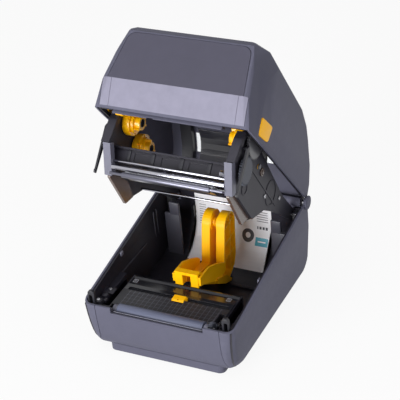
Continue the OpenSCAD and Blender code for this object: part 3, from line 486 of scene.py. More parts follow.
def pick_all():
    bpy.ops.mesh.select_all(action="SELECT")


def pick_parts(piece, kind, test):
    """Selects the vertices, edges or faces that pass the test, and nothing else."""
    if bpy.context.object is not piece or piece.mode != "EDIT":
        take(piece)
        bpy.ops.object.mode_set(mode="EDIT")
    bpy.ops.mesh.select_mode(type=kind)
    bpy.ops.mesh.select_all(action="DESELECT")
    shape = bmesh.from_edit_mesh(piece.data)
    for part in {"VERT": shape.verts, "EDGE": shape.edges, "FACE": shape.faces}[kind]:
        if test(part):
            part.select_set(True)
    shape.select_flush_mode()
    bmesh.update_edit_mesh(piece.data)


def pick(piece, kind, test):
    """Selects what passes a test of its middle, in millimetres, and of the way it faces."""
    def look(part):
        if kind == "VERT":
            return test(part.co / MM, part.normal)
        if kind == "FACE":
            return test(part.calc_center_median() / MM, part.normal)
        start, end = part.verts[0].co, part.verts[1].co
        return test((start + end) / 2 / MM, (end - start).normalized())

    pick_parts(piece, kind, look)


def pick_corners(piece, test):
    """Selects the edges whose two ends together pass the test."""
    pick_parts(piece, "EDGE", lambda edge: test(edge.verts[0].co / MM, edge.verts[1].co / MM))


def towards(axis, way=0):
    """A test for what faces one way along the axis, or either way."""
    def test(middle, facing):
        part = facing["xyz".index(axis)]
        return part * way > SQUARELY if way else abs(part) > SQUARELY
    return test


def round_picked(width, segments=3, clamp=True):
    """Rounds what is selected; clamped, it stops where two roundings would meet."""
    bpy.ops.mesh.bevel(offset=width * MM, offset_type="OFFSET", segments=segments,
                       affect="EDGES", clamp_overlap=clamp)


def push_picked(step):
    """Extrudes what is selected by the step."""
    bpy.ops.mesh.extrude_region_move(TRANSFORM_OT_translate={"value": spot(*step)})


def flip_sides():
    """Moves what is selected to the other side of the middle plane."""
    bpy.ops.transform.resize(value=(-1, 1, 1), center_override=(0, 0, 0))


def drawn(name, points):
    """A flat face traced from point to point; the piece is left in edit mode."""
    clear_selection()
    bpy.ops.mesh.primitive_plane_add(size=MM, location=spot(*points[0]))
    piece = named(bpy.context.object, name)
    bpy.ops.object.transform_apply(rotation=False, scale=False)
    bpy.ops.object.mode_set(mode="EDIT")
    bpy.ops.mesh.select_mode(type="VERT")
    pick_all()
    bpy.ops.mesh.merge(type="CENTER")
    for before, after in zip(points, points[1:]):
        step = spot(*after) - spot(*before)
        bpy.ops.mesh.extrude_vertices_move(TRANSFORM_OT_translate={"value": step})
    pick_all()
    bpy.ops.mesh.edge_face_add()
    return piece


def raised(piece, step):
    """Gives the drawn face its depth and turns all faces outwards."""
    pick_all()
    push_picked(step)
    pick_all()
    bpy.ops.mesh.normals_make_consistent(inside=False)
    return piece


def slab(name, outline, x0, x1):
    """A side-view outline of (y, z) points, standing from x0 to x1."""
    return raised(drawn(name, [(x0, y, z) for y, z in outline]), (x1 - x0, 0, 0))


def panel(name, outline, y0, y1):
    """A front-view outline of (x, z) points, from y0 to y1."""
    return raised(drawn(name, [(x, y0, z) for x, z in outline]), (0, y1 - y0, 0))


def block(name, low, high, edge=0.0):
    clear_selection()
    middle = [(a + b) / 2 for a, b in zip(low, high)]
    bpy.ops.mesh.primitive_cube_add(size=1, location=spot(*middle))
    piece = named(bpy.context.object, name)
    piece.scale = spot(*[b - a for a, b in zip(low, high)])
    bpy.ops.object.transform_apply(rotation=False)
    bpy.ops.object.mode_set(mode="EDIT")
    pick_all()
    if edge:
        round_picked(edge, 2)
    return piece


def round_bar(name, centre, length, radius, sides, turn, ends, edge):
    """A cylinder; the test picks the end faces whose edges are broken."""
    clear_selection()
    bpy.ops.mesh.primitive_cylinder_add(
        vertices=sides, radius=radius * MM, depth=length * MM, location=spot(*centre),
        rotation=(0, turn, 0))
    piece = named(bpy.context.object, name)
    bpy.ops.object.transform_apply()
    if edge:
        pick(piece, "FACE", ends)
        round_picked(edge, 2, clamp=False)
    return piece


def rod(name, x0, x1, y, z, radius, sides=32, edge=0.0):
    """A bar along x, from x0 to x1."""
    return round_bar(name, ((x0 + x1) / 2, y, z), abs(x1 - x0), radius, sides,
                     math.pi / 2, towards("x"), edge)


def upright(name, x, y, z0, z1, radius, sides=24, edge=0.0):
    """A round boss or pin along z, broken at its upper edge only."""
    return round_bar(name, (x, y, (z0 + z1) / 2), z1 - z0, radius, sides, 0,
                     towards("z", 1), edge)


def cut(piece, cutter, way="DIFFERENCE"):
    """Cuts the piece with the cutter, or keeps what they share or hold together.

    The cutter is used up."""
    take(piece)
    tool = piece.modifiers.new("Cut", "BOOLEAN")
    tool.operation = way
    tool.solver = "MANIFOLD"
    tool.object = cutter
    bpy.ops.object.modifier_apply(modifier=tool.name)
    bpy.data.objects.remove(cutter)
    return piece


def doubled(piece, name):
    """A copy with a mesh of its own."""
    take(piece)
    bpy.ops.object.duplicate(linked=False)
    return named(bpy.context.object, name)


def mirrored(piece, name):
    """A copy on the other side of the middle plane, its faces turned outwards again."""
    other = doubled(piece, name)
    bpy.ops.object.mode_set(mode="EDIT")
    pick_all()
    flip_sides()
    pick_all()
    bpy.ops.mesh.flip_normals()
    return other


def joined(pieces, name):
    clear_selection()
    for piece in pieces:
        piece.select_set(True)
    bpy.context.view_layer.objects.active = pieces[0]
    bpy.ops.object.join()
    return named(bpy.context.object, name)


def settle(piece, body):
    """Swings the piece from the shut printer to its body's open place, within its mesh."""
    take(piece)
    angle, y, z = TURNS[TURN_OF.get(body, body)]
    centre = Matrix.Translation(spot(0, y, z))
    swing = centre @ Matrix.Rotation(-math.radians(angle), 4, "X") @ centre.inverted()
    piece.matrix_world = Matrix.Translation(spot(0, REAR_SHIFT, 0)) @ swing
    bpy.ops.object.transform_apply()


def round_edges(piece, width, turn):
    """A live bevel on the edges that turn by more than the angle."""
    bevel = piece.modifiers.new("Round", "BEVEL")
    bevel.width = width
    bevel.segments = 2
    bevel.limit_method = "ANGLE"
    bevel.angle_limit = turn
    bevel.harden_normals = True


def complete(piece, material, body, stands_for=(), edge=0.0):
    """Places the piece, gives it its finish and edges, and hands it to its body."""
    settle(piece, body)
    piece.data.materials.clear()
    piece.data.materials.append(finish(material))
    bpy.ops.object.shade_smooth_by_angle(angle=SHARP_TURN)
    if edge:
        round_edges(piece, edge * MM, ROUNDED_TURN)
    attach(piece, body)
    if stands_for:
        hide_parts(*stands_for)
    return piece


# ---- Lid ----
LID_FOOT, LID_TOP, SIDE_LEAN = 78.5, 188, 0.0383
# Side view of the lid's skin with each point's half width, 0 where the flat side gives it
LID_OUTLINE = [(-111, LID_FOOT, 100), (-86, 82.4, 0), (133, 117.5, 0), (126, 136, 0),
               (108, 155, 0), (77, 174, 0), (57, 183.8, 0), (35, LID_TOP, 0),
               (-104, LID_TOP, 0), (-119, LID_TOP, 90.3), (-128, 183.5, 87),
               (-133.4, 175.5, 86), (-129, 111, 94.3)]
# Places in the outline: the flat side's first and last points, and what gets rounded
SIDE_START, ROOF_FRONT = 1, 8
FRONT_EDGE = (8, 9, 10, 11, 12, 0)
ROOF_EDGE = (2, 3, 4, 5, 6, 7, 8)
# Flat cuts that slope the front ends of the roof's edges: a point and the way each faces
LID_FACETS = [((88.5, -101, LID_TOP), (0.780, -0.049, 0.623)),
              ((88.3, -103, LID_TOP), (0.925, -0.310, 0.219)),
              ((87.0, -104, LID_TOP), (0.458, -0.378, 0.806))]
# How near a corner has to lie to its place to be picked, in millimetres
NEAR = 0.01


def lid_half(z, half):
    """Half the width at a corner: its own, or that of the side, which leans inwards."""
    return half or HALF_WIDTH - SIDE_LEAN * (z - LID_FOOT)


def lid_skin(name):
    """The lid's hollow skin, rounded at its front and top edges."""
    reach = 100
    piece = raised(drawn(name, [(0, y, z) for y, z, half in LID_OUTLINE]), (reach, 0, 0))
    pick(piece, "FACE", lambda middle, facing: abs(facing.x) > 0.99)
    bpy.ops.mesh.delete(type="ONLY_FACE")
    outer = []
    for y, z, half in LID_OUTLINE:
        start, place = Vector((reach, y, z)), Vector((lid_half(z, half), y, z))
        pick(piece, "VERT", lambda co, facing: (co - start).length < NEAR)
        bpy.ops.transform.translate(value=(place - start) * MM)
        outer.append(place)
    count = len(outer)
    fans = [outer[SIDE_START:ROOF_FRONT + 1]] + [
        [outer[SIDE_START], outer[i], outer[(i + 1) % count]] for i in range(ROOF_FRONT, count)]
    for corners in fans:
        pick(piece, "VERT", lambda co, facing: any((co - c).length < NEAR for c in corners))
        bpy.ops.mesh.edge_face_add()
    bpy.ops.mesh.select_mode(type="VERT")
    pick_all()
    bpy.ops.mesh.duplicate()
    flip_sides()
    pick_all()
    bpy.ops.mesh.remove_doubles(threshold=0.00001)
    bpy.ops.mesh.normals_make_consistent(inside=False)

    def at(co, place):
        return (Vector((abs(co.x), co.y, co.z)) - place).length < NEAR

    def edge_of(order):
        pairs = [(outer[i], outer[j]) for i, j in zip(order, order[1:])]
        return lambda a, b: a.x * b.x > 0 and any(
            (at(a, p) and at(b, q)) or (at(a, q) and at(b, p)) for p, q in pairs)

    pick_corners(piece, edge_of(FRONT_EDGE))
    round_picked(7, 5)
    pick_corners(piece, edge_of(ROOF_EDGE))
    round_picked(3)
    for place, facing in LID_FACETS:
        for side in (1, -1):
            pick_all()
            bpy.ops.mesh.bisect(plane_co=[c * MM for c in (place[0] * side, *place[1:])],
                                plane_no=(facing[0] * side, *facing[1:]),
                                use_fill=True, clear_outer=True)
    pick_all()
    bpy.ops.mesh.remove_doubles(threshold=0.0002)

    def on_plane(place, facing):
        return lambda a, b: all(
            abs((Vector((abs(c.x), c.y, c.z)) - Vector(place)).dot(Vector(facing))) < 0.05
            for c in (a, b))

    for place, facing in LID_FACETS[:2]:
        pick_corners(piece, on_plane(place, facing))
        round_picked(1.5, 2)
    pick(piece, "FACE", lambda middle, facing: facing.z < -0.8 and middle.z < 120)
    bpy.ops.mesh.delete(type="FACE")
    wall = piece.modifiers.new("Wall", "SOLIDIFY")
    wall.thickness = WALL * MM
    wall.offset = -1
    wall.use_even_offset = True
    bpy.ops.object.mode_set(mode="OBJECT")
    bpy.ops.object.modifier_apply(modifier=wall.name)
    return piece


def arc(centre, radius, start, end, steps=6):
    """Points on an arc, between two angles in degrees."""
    turns = [math.radians(start + (end - start) * i / steps) for i in range(steps + 1)]
    return [(centre[0] + radius * math.cos(t), centre[1] + radius * math.sin(t))
            for t in turns]


def cover_cutter(inset):
    """The lid's front opening, wider at its foot and round at its upper corners."""
    low, high, top, corner = 88.3 - inset, 81 - inset, 174 - inset, 12
    return panel("cover cutter", [(-low, 111), (low, 111)]
                 + arc((high - corner, top - corner), corner, 5, 90)
                 + arc((corner - high, top - corner), corner, 90, 175), -145, -118)


def band_cutter(inset):
    return slab("band cutter", [(-145, 81.5), (-108.6 + inset, 81.5), (-125.8 + inset, 111),
                                (-145, 111)], -94 + inset, 94 - inset)


def window_cutter(inset):
    return slab("window cutter", [(84 + inset, 153), (91 + inset, 178), (126, 178),
                                  (126, 151.3 + inset), (100, 147.3 + inset)],
                inset - 61, 61 - inset)


LATCH_OUTLINE = [(-82, 89), (-50, 97), (-51, 118), (-88, 110)]


def latch_cutter(grow):
    middle = (-67.75, 103.5)
    outline = [(middle[0] + (y - middle[0]) * (1 + grow / 17),
                middle[1] + (z - middle[1]) * (1 + grow / 13)) for y, z in LATCH_OUTLINE]
    return slab("latch cutter", outline, 92, 104)


class OBJECT_OT_printer_lid(bpy.types.Operator):
    """Models the lid's skin with its front cover, pale band and rear window"""
    bl_idname = "object.printer_lid"
    bl_label = "Model the lid"

    def execute(self, context):
        skin = lid_skin("lid_casing")
        gap = sizes().seam / MM
        cutters = {"lid_cover_panel": cover_cutter, "lid_pale_band": band_cutter,
                   "lid_window_pane": window_cutter}
        cover, band, window = [cut(doubled(skin, name), cutter(gap), "INTERSECT")
                               for name, cutter in cutters.items()]
        for cutter in cutters.values():
            cut(skin, cutter(0))
        hole = latch_cutter(0.7)
        pick(hole, "EDGE", towards("x"))
        round_picked(4, 4)
        other = mirrored(hole, "other hole")
        cut(skin, hole)
        cut(skin, other)
        cut(skin, block("panel space", (-46.2, -73.2, LID_TOP - 2),
                        (46.2, -50.8, LID_TOP + 2)))
        cut(skin, rod("hinge space", -110, 110, *HINGE, 8))
        for side in (-82, 82):
            cut(band, slab("seam", [(-150, 80), (-111.4, 80), (-128.6, 112), (-150, 112)],
                           side - gap / 2, side + gap / 2))
        lip = slab("lid_lip", [(-108.4, 75.3), (-106.6, 75.3), (-106.2, 83.5), (-108.0, 83.5)],
                   -76, 66)
        cut(lip, block("lip notch", (-30, -110, 74), (-22, -105, 76.4)))
        for piece, material, stands_for in (
                (lip, "shell", []), (skin, "shell", ["lid_shell"]),
                (cover, "cover", ["lid_front_cover"]), (band, "band", ["lid_band"]),
                (window, "window", ["lid_window"])):
            complete(piece, material, "lid", stands_for, 0.3)
        return {"FINISHED"}


# ---- Base ----
# How far the front's bow goes in at its foot, and the radii of the casing's corners
BOW_DEPTH, HEEL, FRONT_CORNER, REAR_CORNER, FOOT_CORNER = 15, 20, 12, 5, 7


def base_body(name, inset, top):
    """The base's solid form, drawn inside its outer faces by the inset."""
    front, rear, floor = BASE_FRONT + inset, BASE_REAR - inset, BASE_FLOOR + inset
    rim_front, rim_rear = RIM + top, 113.8 + top
    height = RIM - floor
    bow = [(front + BOW_DEPTH * (1 - math.sin(math.radians(t))),
            floor + height * (1 - math.cos(math.radians(t)))) for t in range(75, -1, -15)]
    outline = [(front, rim_front)] + bow + arc((rear - HEEL, floor + HEEL), HEEL, -90, 0) + [
        (rear, rim_rear)]
    if top > 0:
        outline.insert(1, (front, RIM))
    half = HALF_WIDTH - inset
    piece = slab(name, outline, -half, half)
    for side in (-1, 1):
        pick_all()
        bpy.ops.mesh.bisect(plane_co=spot(side * half, 0, RIM),
                            plane_no=Vector((side * 64, 0, -5)).normalized(),
                            clear_outer=True, use_fill=True)
    for side in (-1, 1):
        pick_corners(piece, lambda a, b: a.x * side > 80 and b.x * side > 80
                     and max(a.y, b.y) < front + BOW_DEPTH + 0.2 and abs(a.z - b.z) > 1)
        round_picked(FRONT_CORNER - inset, 5)
        pick_corners(piece, lambda a, b: a.x * side > 80 and b.x * side > 80
                     and min(a.y, b.y) > rear - 0.2)
        round_picked(REAR_CORNER - inset)
    pick_corners(piece, lambda a, b: abs(a.x) > 90 and abs(b.x) > 90 and a.x * b.x > 0
                 and max(a.z, b.z) < floor + 1 and abs(a.y - b.y) > 60)
    round_picked(FOOT_CORNER - inset, 4)
    return piece


def front_split(name, grow):
    """What takes the front cover out of the casing, between its two curved seams."""
    flare = [(83, 120), (83, 40), (84, 26), (87.5, 17), (93, 10), (93, 0)]
    right = [(x + grow, z) for x, z in flare]
    left = [(-x, z) for x, z in reversed(right)]
    return panel(name, right + left, -125, -99.5 + grow)


class OBJECT_OT_printer_base(bpy.types.Operator):
    """Models the base's casing with its rounded corners, its front cover and its rear"""
    bl_idname = "object.printer_base"
    bl_label = "Model the base"

    def execute(self, context):
        gap = sizes().seam / MM
        casing = base_body("base_casing", 0, 0)
        cut(casing, base_body("inside", WALL, 40))
        cover = doubled(casing, "base_cover_panel")
        cut(cover, front_split("split", 0), "INTERSECT")
        cut(cover, block("notch", (-62, -113, 69), (62, -107, 78)))
        cut(casing, front_split("split", gap))
        for side in (-1, 1):
            cut(casing, rod("ear", side * 98.4, side * 100.9, *HINGE, 7, 48), "UNION")
        cut(casing, rod("barrel", -94, 94, *HINGE, 7, 48), "UNION")
        cut(casing, rod("bore", -103, 103, *HINGE, 3))
        cut(casing, block("rear gap", (-98.5, 128, 112), (98.5, 136, 140)))
        for side in (-1, 1):
            low, high = sorted((side * 94, side * 98.5))
            cut(casing, block("arm gap", (low, 128, 105), (high, 136, 140)))
        vents = [block("vent", (x, 128, 60), (x + 3, 136, 84), 1) for x in range(-30, 31, 6)]
        cut(casing, joined(vents, "vents"))
        cut(casing, block("port", (-38.4, 128, 21.5), (-25.6, 136, 33.3), 1))
        socket = rod("socket", 128, 136, -34, 27.9, 5.8)
        socket.rotation_euler = (0, 0, math.pi / 2)
        cut(casing, socket)
        complete(casing, "shell", "base", ["base_shell"], 0.5)
        complete(cover, "shell", "base", ["front_cover"], 0.4)
        return {"FINISHED"}


# ---- Small parts ----
def both_sides(name, *pieces):
    """The pieces joined with their mirror images."""
    piece = joined(pieces, name) if len(pieces) > 1 else pieces[0]
    return joined([piece, mirrored(piece, name + "_other")], name)


def side_screw(name, x, y, z, radius=2.6):
    """A pan head with a crossed slot, its face towards +x."""
    head = rod(name, x, x + 1.5, y, z, radius, 20, 0.4)
    for low, high in (((x + 0.7, y - radius * 0.65, z - 0.35),
                       (x + 3, y + radius * 0.65, z + 0.35)),
                      ((x + 0.7, y - 0.35, z - radius * 0.65),
                       (x + 3, y + 0.35, z + radius * 0.65))):
        cut(head, block("slot", low, high))
    return head


def top_screw(name, x, y, z, radius=2.2):
    """A small head with a crossed slot, its face upwards."""
    head = upright(name, x, y, z, z + 1.1, radius, 20, 0.35)
    for wide, deep in ((radius * 0.65, 0.3), (0.3, radius * 0.65)):
        cut(head, block("slot", (x - wide, y - deep, z + 0.5), (x + wide, y + deep, z + 3)))
    return head


class OBJECT_OT_printer_latches(bpy.types.Operator):
    """Models the two yellow latch buttons in the lid's sides"""
    bl_idname = "object.printer_latches"
    bl_label = "Model the latch buttons"

    def execute(self, context):
        button = slab("latch_cap_right", LATCH_OUTLINE, 96.4, 101.2)
        pick(button, "EDGE", towards("x"))
        round_picked(4, 4)
        pick(button, "FACE", towards("x", 1))
        round_picked(1, clamp=False)
        pick(button, "FACE", towards("x", -1))
        bpy.ops.mesh.inset(thickness=2 * MM)
        push_picked((2.6, 0, 0))
        other = mirrored(button, "latch_cap_left")
        complete(button, "touch", "latch_right", ["latch_button_right"])
        complete(other, "touch", "latch_left", ["latch_button_left"])
        return {"FINISHED"}


class OBJECT_OT_printer_posts(bpy.types.Operator):
    """Models the arched posts that the lid's hooks catch, and the bosses beside the deck"""
    bl_idname = "object.printer_posts"
    bl_label = "Model the latch posts"

    def execute(self, context):
        low, high, crown = 85.3, 94.5, 88
        arch = [(low, ISLAND_TOP), (high, ISLAND_TOP), (high, crown)] + arc(
            ((low + high) / 2, crown), (high - low) / 2, 0, 180, 8)[1:] + [(low, crown)]
        post = panel("latch_arches", arch, -105.4, -100.5)
        pick(post, "FACE", towards("y"))
        round_picked(0.9, 2, clamp=False)
        cut(post, block("gap", (88, -109, 68), (92.8, -99, 86.5), 1.2))
        foot = block("foot", (84.6, -108, ISLAND_TOP), (96.2, -100.2, 67), 0.8)
        complete(both_sides("latch_arches", post, foot), "matt", "base", ["latch_posts"])
        bosses = [upright("boss", -88.5, -92, ISLAND_TOP, 70.5, 5, 32, 1),
                  upright("boss", -88, -76, ISLAND_TOP, 68.5, 4.2, 32, 1.4),
                  upright("boss", -83.8, -98.6, ISLAND_TOP, 68, 3, 24, 0.8),
                  block("shelf", (-96, -70, ISLAND_TOP), (-80.6, -58, 66), 0.7),
                  block("stop", (-84.6, -88, ISLAND_TOP), (-80.6, -82, 68), 0.8)]
        complete(joined(bosses, "island_bosses"), "inner", "base")
        screws = [top_screw("screw", -88.5, -92, 70.5), top_screw("screw", -88, -62, 66)]
        complete(joined(screws, "island_screws"), "steel", "base")
        return {"FINISHED"}


HUB_PLACES = {"takeup": (-70.5, 147), "supply": (-30.2, 124.4)}


class OBJECT_OT_printer_hub_cores(bpy.types.Operator):
    """Models the black cores and the raised rims of the four ribbon hubs"""
    bl_idname = "object.printer_hub_cores"
    bl_label = "Model the hub cores"

    def execute(self, context):
        for kind, (y, z) in HUB_PLACES.items():
            core = rod(kind + "_core_right", 58.6, 63.8, y, z, 5.2, 24, 0.6)
            pick(core, "FACE", lambda middle, facing: facing.x < -0.9 and middle.x < 58.8)
            bpy.ops.mesh.inset(thickness=1.5 * MM)
            push_picked((1.6, 0, 0))
            rim = rod(kind + "_rim_right", 66.2, 68.8, y, z, 10.4, 48, 0.8)
            cut(rim, rod("bore", 60, 75, y, z, 8.8, 48))
            for part, name in ((core, "matt"), (rim, "amber")):
                other = mirrored(part, part.name.replace("right", "left"))
                complete(part, name, kind + "_right")
                complete(other, name, kind + "_left")
        return {"FINISHED"}


class OBJECT_OT_printer_carriage_details(bpy.types.Operator):
    """Models the carriage's screws, pins, spring, clips and release tab"""
    bl_idname = "object.printer_carriage_details"
    bl_label = "Model the carriage's details"

    def execute(self, context):
        screws = [side_screw("screw", PLATE_FACE, y, z)
                  for y, z in ((-52, 112), (10, 96), (60, 104))]
        complete(both_sides("plate_screws", *screws), "steel", "carriage")
        pin_place = (-16.2, 120.8)
        ring = rod("plate_pins", PLATE_FACE, 85.6, *pin_place, 5.2, 32, 0.5)
        cut(ring, rod("bore", 84.6, 90, *pin_place, 3.6, 32))
        pin = rod("pin", PLATE_FACE, 86.6, *pin_place, 2.9, 24, 0.8)
        complete(both_sides("plate_pins", ring, pin), "bronze", "carriage")
        pads = []
        for y, z, radius in ((28, 104, 17), (-58, 92, 9)):
            pad = rod("plate_pads", PLATE_FACE, 84.7, y, z, radius, 64, 0.3)
            cut(pad, rod("bore", 83, 90, y, z, radius - 2.2, 64))
            pads.append(pad)
        pads.append(slab("rib", [(-60, 118), (52, 92), (52, 94), (-60, 120)], PLATE_FACE,
                         84.8))
        complete(both_sides("plate_pads", *pads), "slate", "carriage", edge=0.2)
        coils = []
        for step in range(6):
            clear_selection()
            bpy.ops.mesh.primitive_torus_add(
                major_radius=3.0 * MM, minor_radius=0.5 * MM, major_segments=24,
                minor_segments=8, location=spot(66.5 + 1.3 * step, -97, 98.5),
                rotation=(0, math.pi / 2, math.radians(8)))
            coil = bpy.context.object
            bpy.ops.object.transform_apply()
            coils.append(coil)
        complete(joined(coils, "bar_spring"), "chrome", "carriage")
        clips = [block("clip", (x, -83.2, 108.5), (x + 9, -80.6, 112.2), 0.6)
                 for x in (-58, -20, 34)]
        clips += [block("clip", (x, -86.4, 96), (x + 5, -83.4, 110), 0.5)
                  for x in (-62, -30, 8, 44)]
        complete(joined(clips, "bracket_clips"), "matt", "carriage")
        tab = block("release_tab", (-81.2, -104, 146.5), (-71, -98, 152), 1)
        complete(tab, "touch", "carriage")
        return {"FINISHED"}


class OBJECT_OT_printer_holder_webs(bpy.types.Operator):
    """Models the webs that join each holder's front legs to its tower"""
    bl_idname = "object.printer_holder_webs"
    bl_label = "Model the roll holders' webs"

    def execute(self, context):
        outline = [(-23.6, 68), (-23.6, 79.6), (4, 78.8), (22, 71), (42, 60), (48, 54),
                   (44, 44), (24, 43), (-8, 62)]
        web = slab("holder_web_right", outline, 16.2, 19.4)
        pick(web, "FACE", towards("x", 1))
        bpy.ops.mesh.inset(thickness=2.2 * MM, depth=-1.2 * MM)
        bpy.ops.object.mode_set(mode="OBJECT")
        other = mirrored(web, "holder_web_left")
        complete(web, "touch", "holder_right", edge=0.4)
        complete(other, "touch", "holder_left", edge=0.4)
        return {"FINISHED"}


class OBJECT_OT_printer_hinge_discs(bpy.types.Operator):
    """Models the round cheeks at the ends of the lid's hinge"""
    bl_idname = "object.printer_hinge_discs"
    bl_label = "Model the hinge's cheeks"

    def execute(self, context):
        disc = rod("hinge_discs", 101.2, 103.5, *HINGE, 9.2, 48, 0.8)
        complete(both_sides("hinge_discs", disc), "shell", "base")
        return {"FINISHED"}


class OBJECT_OT_printer_lid_details(bpy.types.Operator):
    """Models the ribs, clips and pillar inside the lid"""
    bl_idname = "object.printer_lid_details"
    bl_label = "Model the lid's inner details"

    def execute(self, context):
        pillar = slab("lid_pillar", [(60, 171), (74, 170.4), (103, 152.5), (120, 134),
                                     (114, 131), (98, 147), (70, 163), (60, 165)], -78, -62)
        complete(pillar, "matt", "lid", edge=0.5)
        clips = [block("clip", (x, -102.4, 78.8), (x + w, -99.6, 81), 0.5)
                 for x, w in ((-26, 8), (50, 11), (-70, 6))]
        complete(joined(clips, "flange_clips"), "slate", "lid")
        ribs = [slab("rib", [(-40, 185), (32, 185), (54, 181), (75, 171), (73, 166),
                             (53, 176), (31, 180), (-40, 180)], x, x + 1.4) for x in (-50, 10, 50)]
        complete(joined(ribs, "lid_ribs"), "inner", "lid", edge=0.3)
        return {"FINISHED"}


class OBJECT_OT_printer_tray_details(bpy.types.Operator):
    """Models the column, ribs and clips inside the tray, and the marks on the deck"""
    bl_idname = "object.printer_tray_details"
    bl_label = "Model the tray's details"

    def execute(self, context):
        column = block("column", (-87, 92.4, 20), (-65, 97, 83.5), 1.2)
        upper_column = block("upper column", (-79.2, 92.5, 80), (-65.1, 96.9, 101), 1.2)
        ribs = [block("rib", (-95.7, y, 22), (-94, y + 2, 92), 0.5) for y in (76, 84)]
        ledge = slab("ledge", [(-20, 60), (50, 60), (50, 62), (-20, 62)], -95.7, -93.5)
        complete(both_sides("tray_columns", column, upper_column, *ribs, ledge), "panel",
                 "base", edge=0.3)
        lug = block("lug", (93.2, -17, 84), (95.7, -11, 89.5), 0.6)
        complete(both_sides("rim_lugs", lug), "block", "base")
        marks = []
        for x in (-68, 60):
            frame_mark = block("mark", (x, -40, DECK_TOP), (x + 6, -34, MARK_TOP))
            cut(frame_mark, block("hole", (x + 0.8, -39.2, 66), (x + 5.2, -34.8, 67)))
            marks += [frame_mark, upright("dot", x + 3, -37, DECK_TOP, MARK_TOP, 1, 12)]
        complete(joined(marks, "deck_marks"), "print_grey", "base")
        return {"FINISHED"}


# Finish of each CAD node that is shown; all their edges are rounded by the Small edge setting
NODE_FINISH = {
    "shell": ["hinge_caps", "bottom_cover"],
    "inner": ["inner_tray", "lid_inner_frame", "head_bracket", "rack_left", "rack_right",
              "power_inlet"],
    "smoke": ["ribbon_shield"],
    "deck": ["deck_plate"],
    "gloss": ["control_panel", "cradle_rib"],
    "matt": ["latch_hook_left", "latch_hook_right"],
    "touch": ["roll_holder_left", "roll_holder_right", "media_sensor"],
    "hub": ["takeup_hub_left", "takeup_hub_right", "supply_hub_left", "supply_hub_right"],
    "platen": ["platen_roller"],
    "feet": ["rubber_feet"],
    "steel": ["platen_shaft", "hinge_shaft", "base_screws", "carriage_pins"],
    "gunmetal": ["tear_bar"],
    "chrome": ["ribbon_bars", "ribbon_strip"],
    "block": ["front_blocks", "platen_bearings"],
    "slate": ["side_plate_left", "side_plate_right"],
    "head": ["print_head"],
    "alloy": ["heat_sink", "data_port", "drive_motor"],
    "bronze": ["ribbon_guides"],
    "gear": ["platen_gear", "drive_idler", "transfer_gear", "holder_pinion"],
    "brass": ["motor_pinion"],
    "board": ["main_board", "port_board"],
    "paper": ["info_sheet"],
    "key": ["power_button", "pause_button", "feed_button"],
    "lens": ["status_lenses"],
}


def round_cad_node(node, width):
    """Live modifiers that join the node's loose triangles and round its edges."""
    weld = node.modifiers.new("Join", "WELD")
    weld.merge_threshold = 0.00001
    flat = node.modifiers.new("Flatten", "DECIMATE")
    flat.decimate_type = "DISSOLVE"
    flat.angle_limit = math.radians(1)
    round_edges(node, width, math.radians(35))


class OBJECT_OT_printer_cad_nodes(bpy.types.Operator):
    """Gives each carried-over node its finish and its rounded edges"""
    bl_idname = "object.printer_cad_nodes"
    bl_label = "Finish the frame's nodes"

    def execute(self, context):
        for name, nodes in NODE_FINISH.items():
            for node in nodes:
                piece = NODES[node]
                piece.data.materials.clear()
                piece.data.materials.append(finish(name))
                round_cad_node(piece, sizes().small_edge)
        return {"FINISHED"}


# ---- Stage ----
FLOOR_SIZE = 8
FLOOR_GREY = (0.8, 0.8, 0.8)
# How far the floor shows as white where it is seen directly, 1 being wholly
FLOOR_GLOW = 0.9
LIGHT_TARGET = Vector((0, 0, 0.15))
SENSOR_WIDTH = 36


class OBJECT_OT_printer_stage(bpy.types.Operator):
    """Lays the pale floor and sets the lights and the camera"""
    bl_idname = "object.printer_stage"
    bl_label = "Set the stage"

    def execute(self, context):
        make_floor()
        make_lights()
        make_camera()
        return {"FINISHED"}


def seen_directly(tree):
    """1 for what the camera, a mirror or clear plastic shows of the background, else 0."""
    path = new_node(tree, "LightPath", {}).outputs
    return either(tree, either(tree, path["Is Camera Ray"], path["Is Glossy Ray"]),
                  path["Is Transmission Ray"])


def make_floor():
    bpy.ops.mesh.primitive_plane_add(size=FLOOR_SIZE)
    floor = bpy.context.object
    floor.name = "floor"
    material, tree, shader = new_material("Pale floor", FLOOR_GREY)
    feed(tree, shader, {"Base Color": (*FLOOR_GREY, 1), "Roughness": 0.8})
    glow = new_node(tree, "Emission", {"Strength": 1})
    blend = new_node(tree, "MixShader", {
        "Fac": product(tree, seen_directly(tree), FLOOR_GLOW),
        1: shader.outputs["BSDF"], 2: glow.outputs["Emission"]})
    feed(tree, tree.nodes["Material Output"], {"Surface": blend.outputs["Shader"]})
    floor.data.materials.append(material)


def make_lights():
    world = bpy.data.worlds.new("Studio")
    bpy.context.scene.world = world
    world.use_nodes = True
    tree = world.node_tree
    rest = studio().room
    strength = added(tree, product(tree, seen_directly(tree), 1 - rest), rest)
    feed(tree, tree.nodes["Background"], {"Color": (1, 1, 1, 1), "Strength": strength})
    for name, place, size, power in (
            ("key light", (-0.55, -2.4, 0.5), 1.5, studio().key),
            ("fill light", (1.7, -0.9, 0.8), 1.2, studio().fill),
            ("top light", (-0.2, -0.5, 1.9), 1.0, studio().fill)):
        lamp = bpy.data.lights.new(name, "AREA")
        lamp.size = size
        lamp.energy = power
        holder = bpy.data.objects.new(name, lamp)
        bpy.context.scene.collection.objects.link(holder)
        holder.location = place
        aim = LIGHT_TARGET - Vector(place)
        holder.rotation_euler = aim.to_track_quat("-Z", "Y").to_euler()


CAMERA_AZIMUTH = math.radians(28.12)
CAMERA_ELEVATION = math.radians(32.34)
CAMERA_ROLL = math.radians(-5.85)
CAMERA_PLACE = (0.7407, -1.37618, 1.1515)


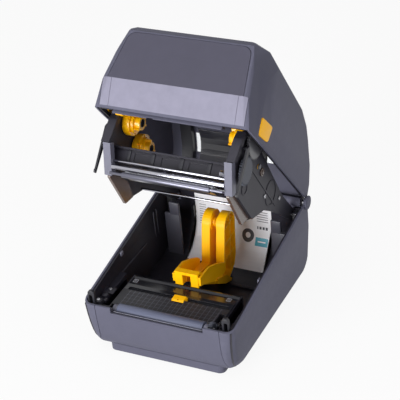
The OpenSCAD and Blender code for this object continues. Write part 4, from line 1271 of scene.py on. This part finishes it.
def make_camera():
    a, e, r = CAMERA_AZIMUTH, CAMERA_ELEVATION, CAMERA_ROLL
    right = Vector((math.cos(a), math.sin(a), 0))
    up = Vector((-math.sin(a) * math.sin(e), math.cos(a) * math.sin(e), math.cos(e)))
    back = right.cross(up)
    turned = (right * math.cos(r) + up * math.sin(r), -right * math.sin(r) + up * math.cos(r),
              back)
    data = bpy.data.cameras.new("Camera")
    data.lens = studio().lens
    data.sensor_width = SENSOR_WIDTH
    camera = bpy.data.objects.new("Camera", data)
    bpy.context.scene.collection.objects.link(camera)
    camera.matrix_world = Matrix.Translation(CAMERA_PLACE) @ Matrix(
        [[turned[c][row] for c in range(3)] for row in range(3)]).to_4x4()
    bpy.context.scene.camera = camera
    bpy.context.scene.view_settings.view_transform = "Standard"


# ---- Panel and registration ----
OPERATORS = [OBJECT_OT_printer_stage, OBJECT_OT_printer_lid, OBJECT_OT_printer_base,
             OBJECT_OT_printer_latches, OBJECT_OT_printer_posts,
             OBJECT_OT_printer_hub_cores, OBJECT_OT_printer_carriage_details,
             OBJECT_OT_printer_holder_webs, OBJECT_OT_printer_hinge_discs,
             OBJECT_OT_printer_lid_details, OBJECT_OT_printer_tray_details,
             OBJECT_OT_printer_cad_nodes]
SETTINGS = {"label_printer_colours": LabelPrinterColours,
            "label_printer_sizes": LabelPrinterSizes,
            "label_printer_studio": LabelPrinterStudio}


class VIEW3D_PT_label_printer(bpy.types.Panel):
    """Settings and steps of the label printer"""
    bl_label = "Label Printer"
    bl_idname = "VIEW3D_PT_label_printer"
    bl_space_type = "VIEW_3D"
    bl_region_type = "UI"
    bl_category = "Label Printer"

    def draw(self, context):
        for name in SETTINGS:
            settings = getattr(context.scene, name)
            for setting in settings.bl_rna.properties.keys():
                if setting not in ("rna_type", "name"):
                    self.layout.prop(settings, setting)
        for step in OPERATORS:
            self.layout.operator(step.bl_idname)


def register():
    for item in [*SETTINGS.values(), *OPERATORS, VIEW3D_PT_label_printer]:
        bpy.utils.register_class(item)
    for name, group in SETTINGS.items():
        setattr(bpy.types.Scene, name, bpy.props.PointerProperty(type=group))


def unregister():
    for name in SETTINGS:
        delattr(bpy.types.Scene, name)
    for item in reversed([*SETTINGS.values(), *OPERATORS, VIEW3D_PT_label_printer]):
        bpy.utils.unregister_class(item)


def main():
    register()
    for step in OPERATORS:
        group, name = step.bl_idname.split(".")
        getattr(getattr(bpy.ops, group), name)()


if __name__ == "__main__":
    main()
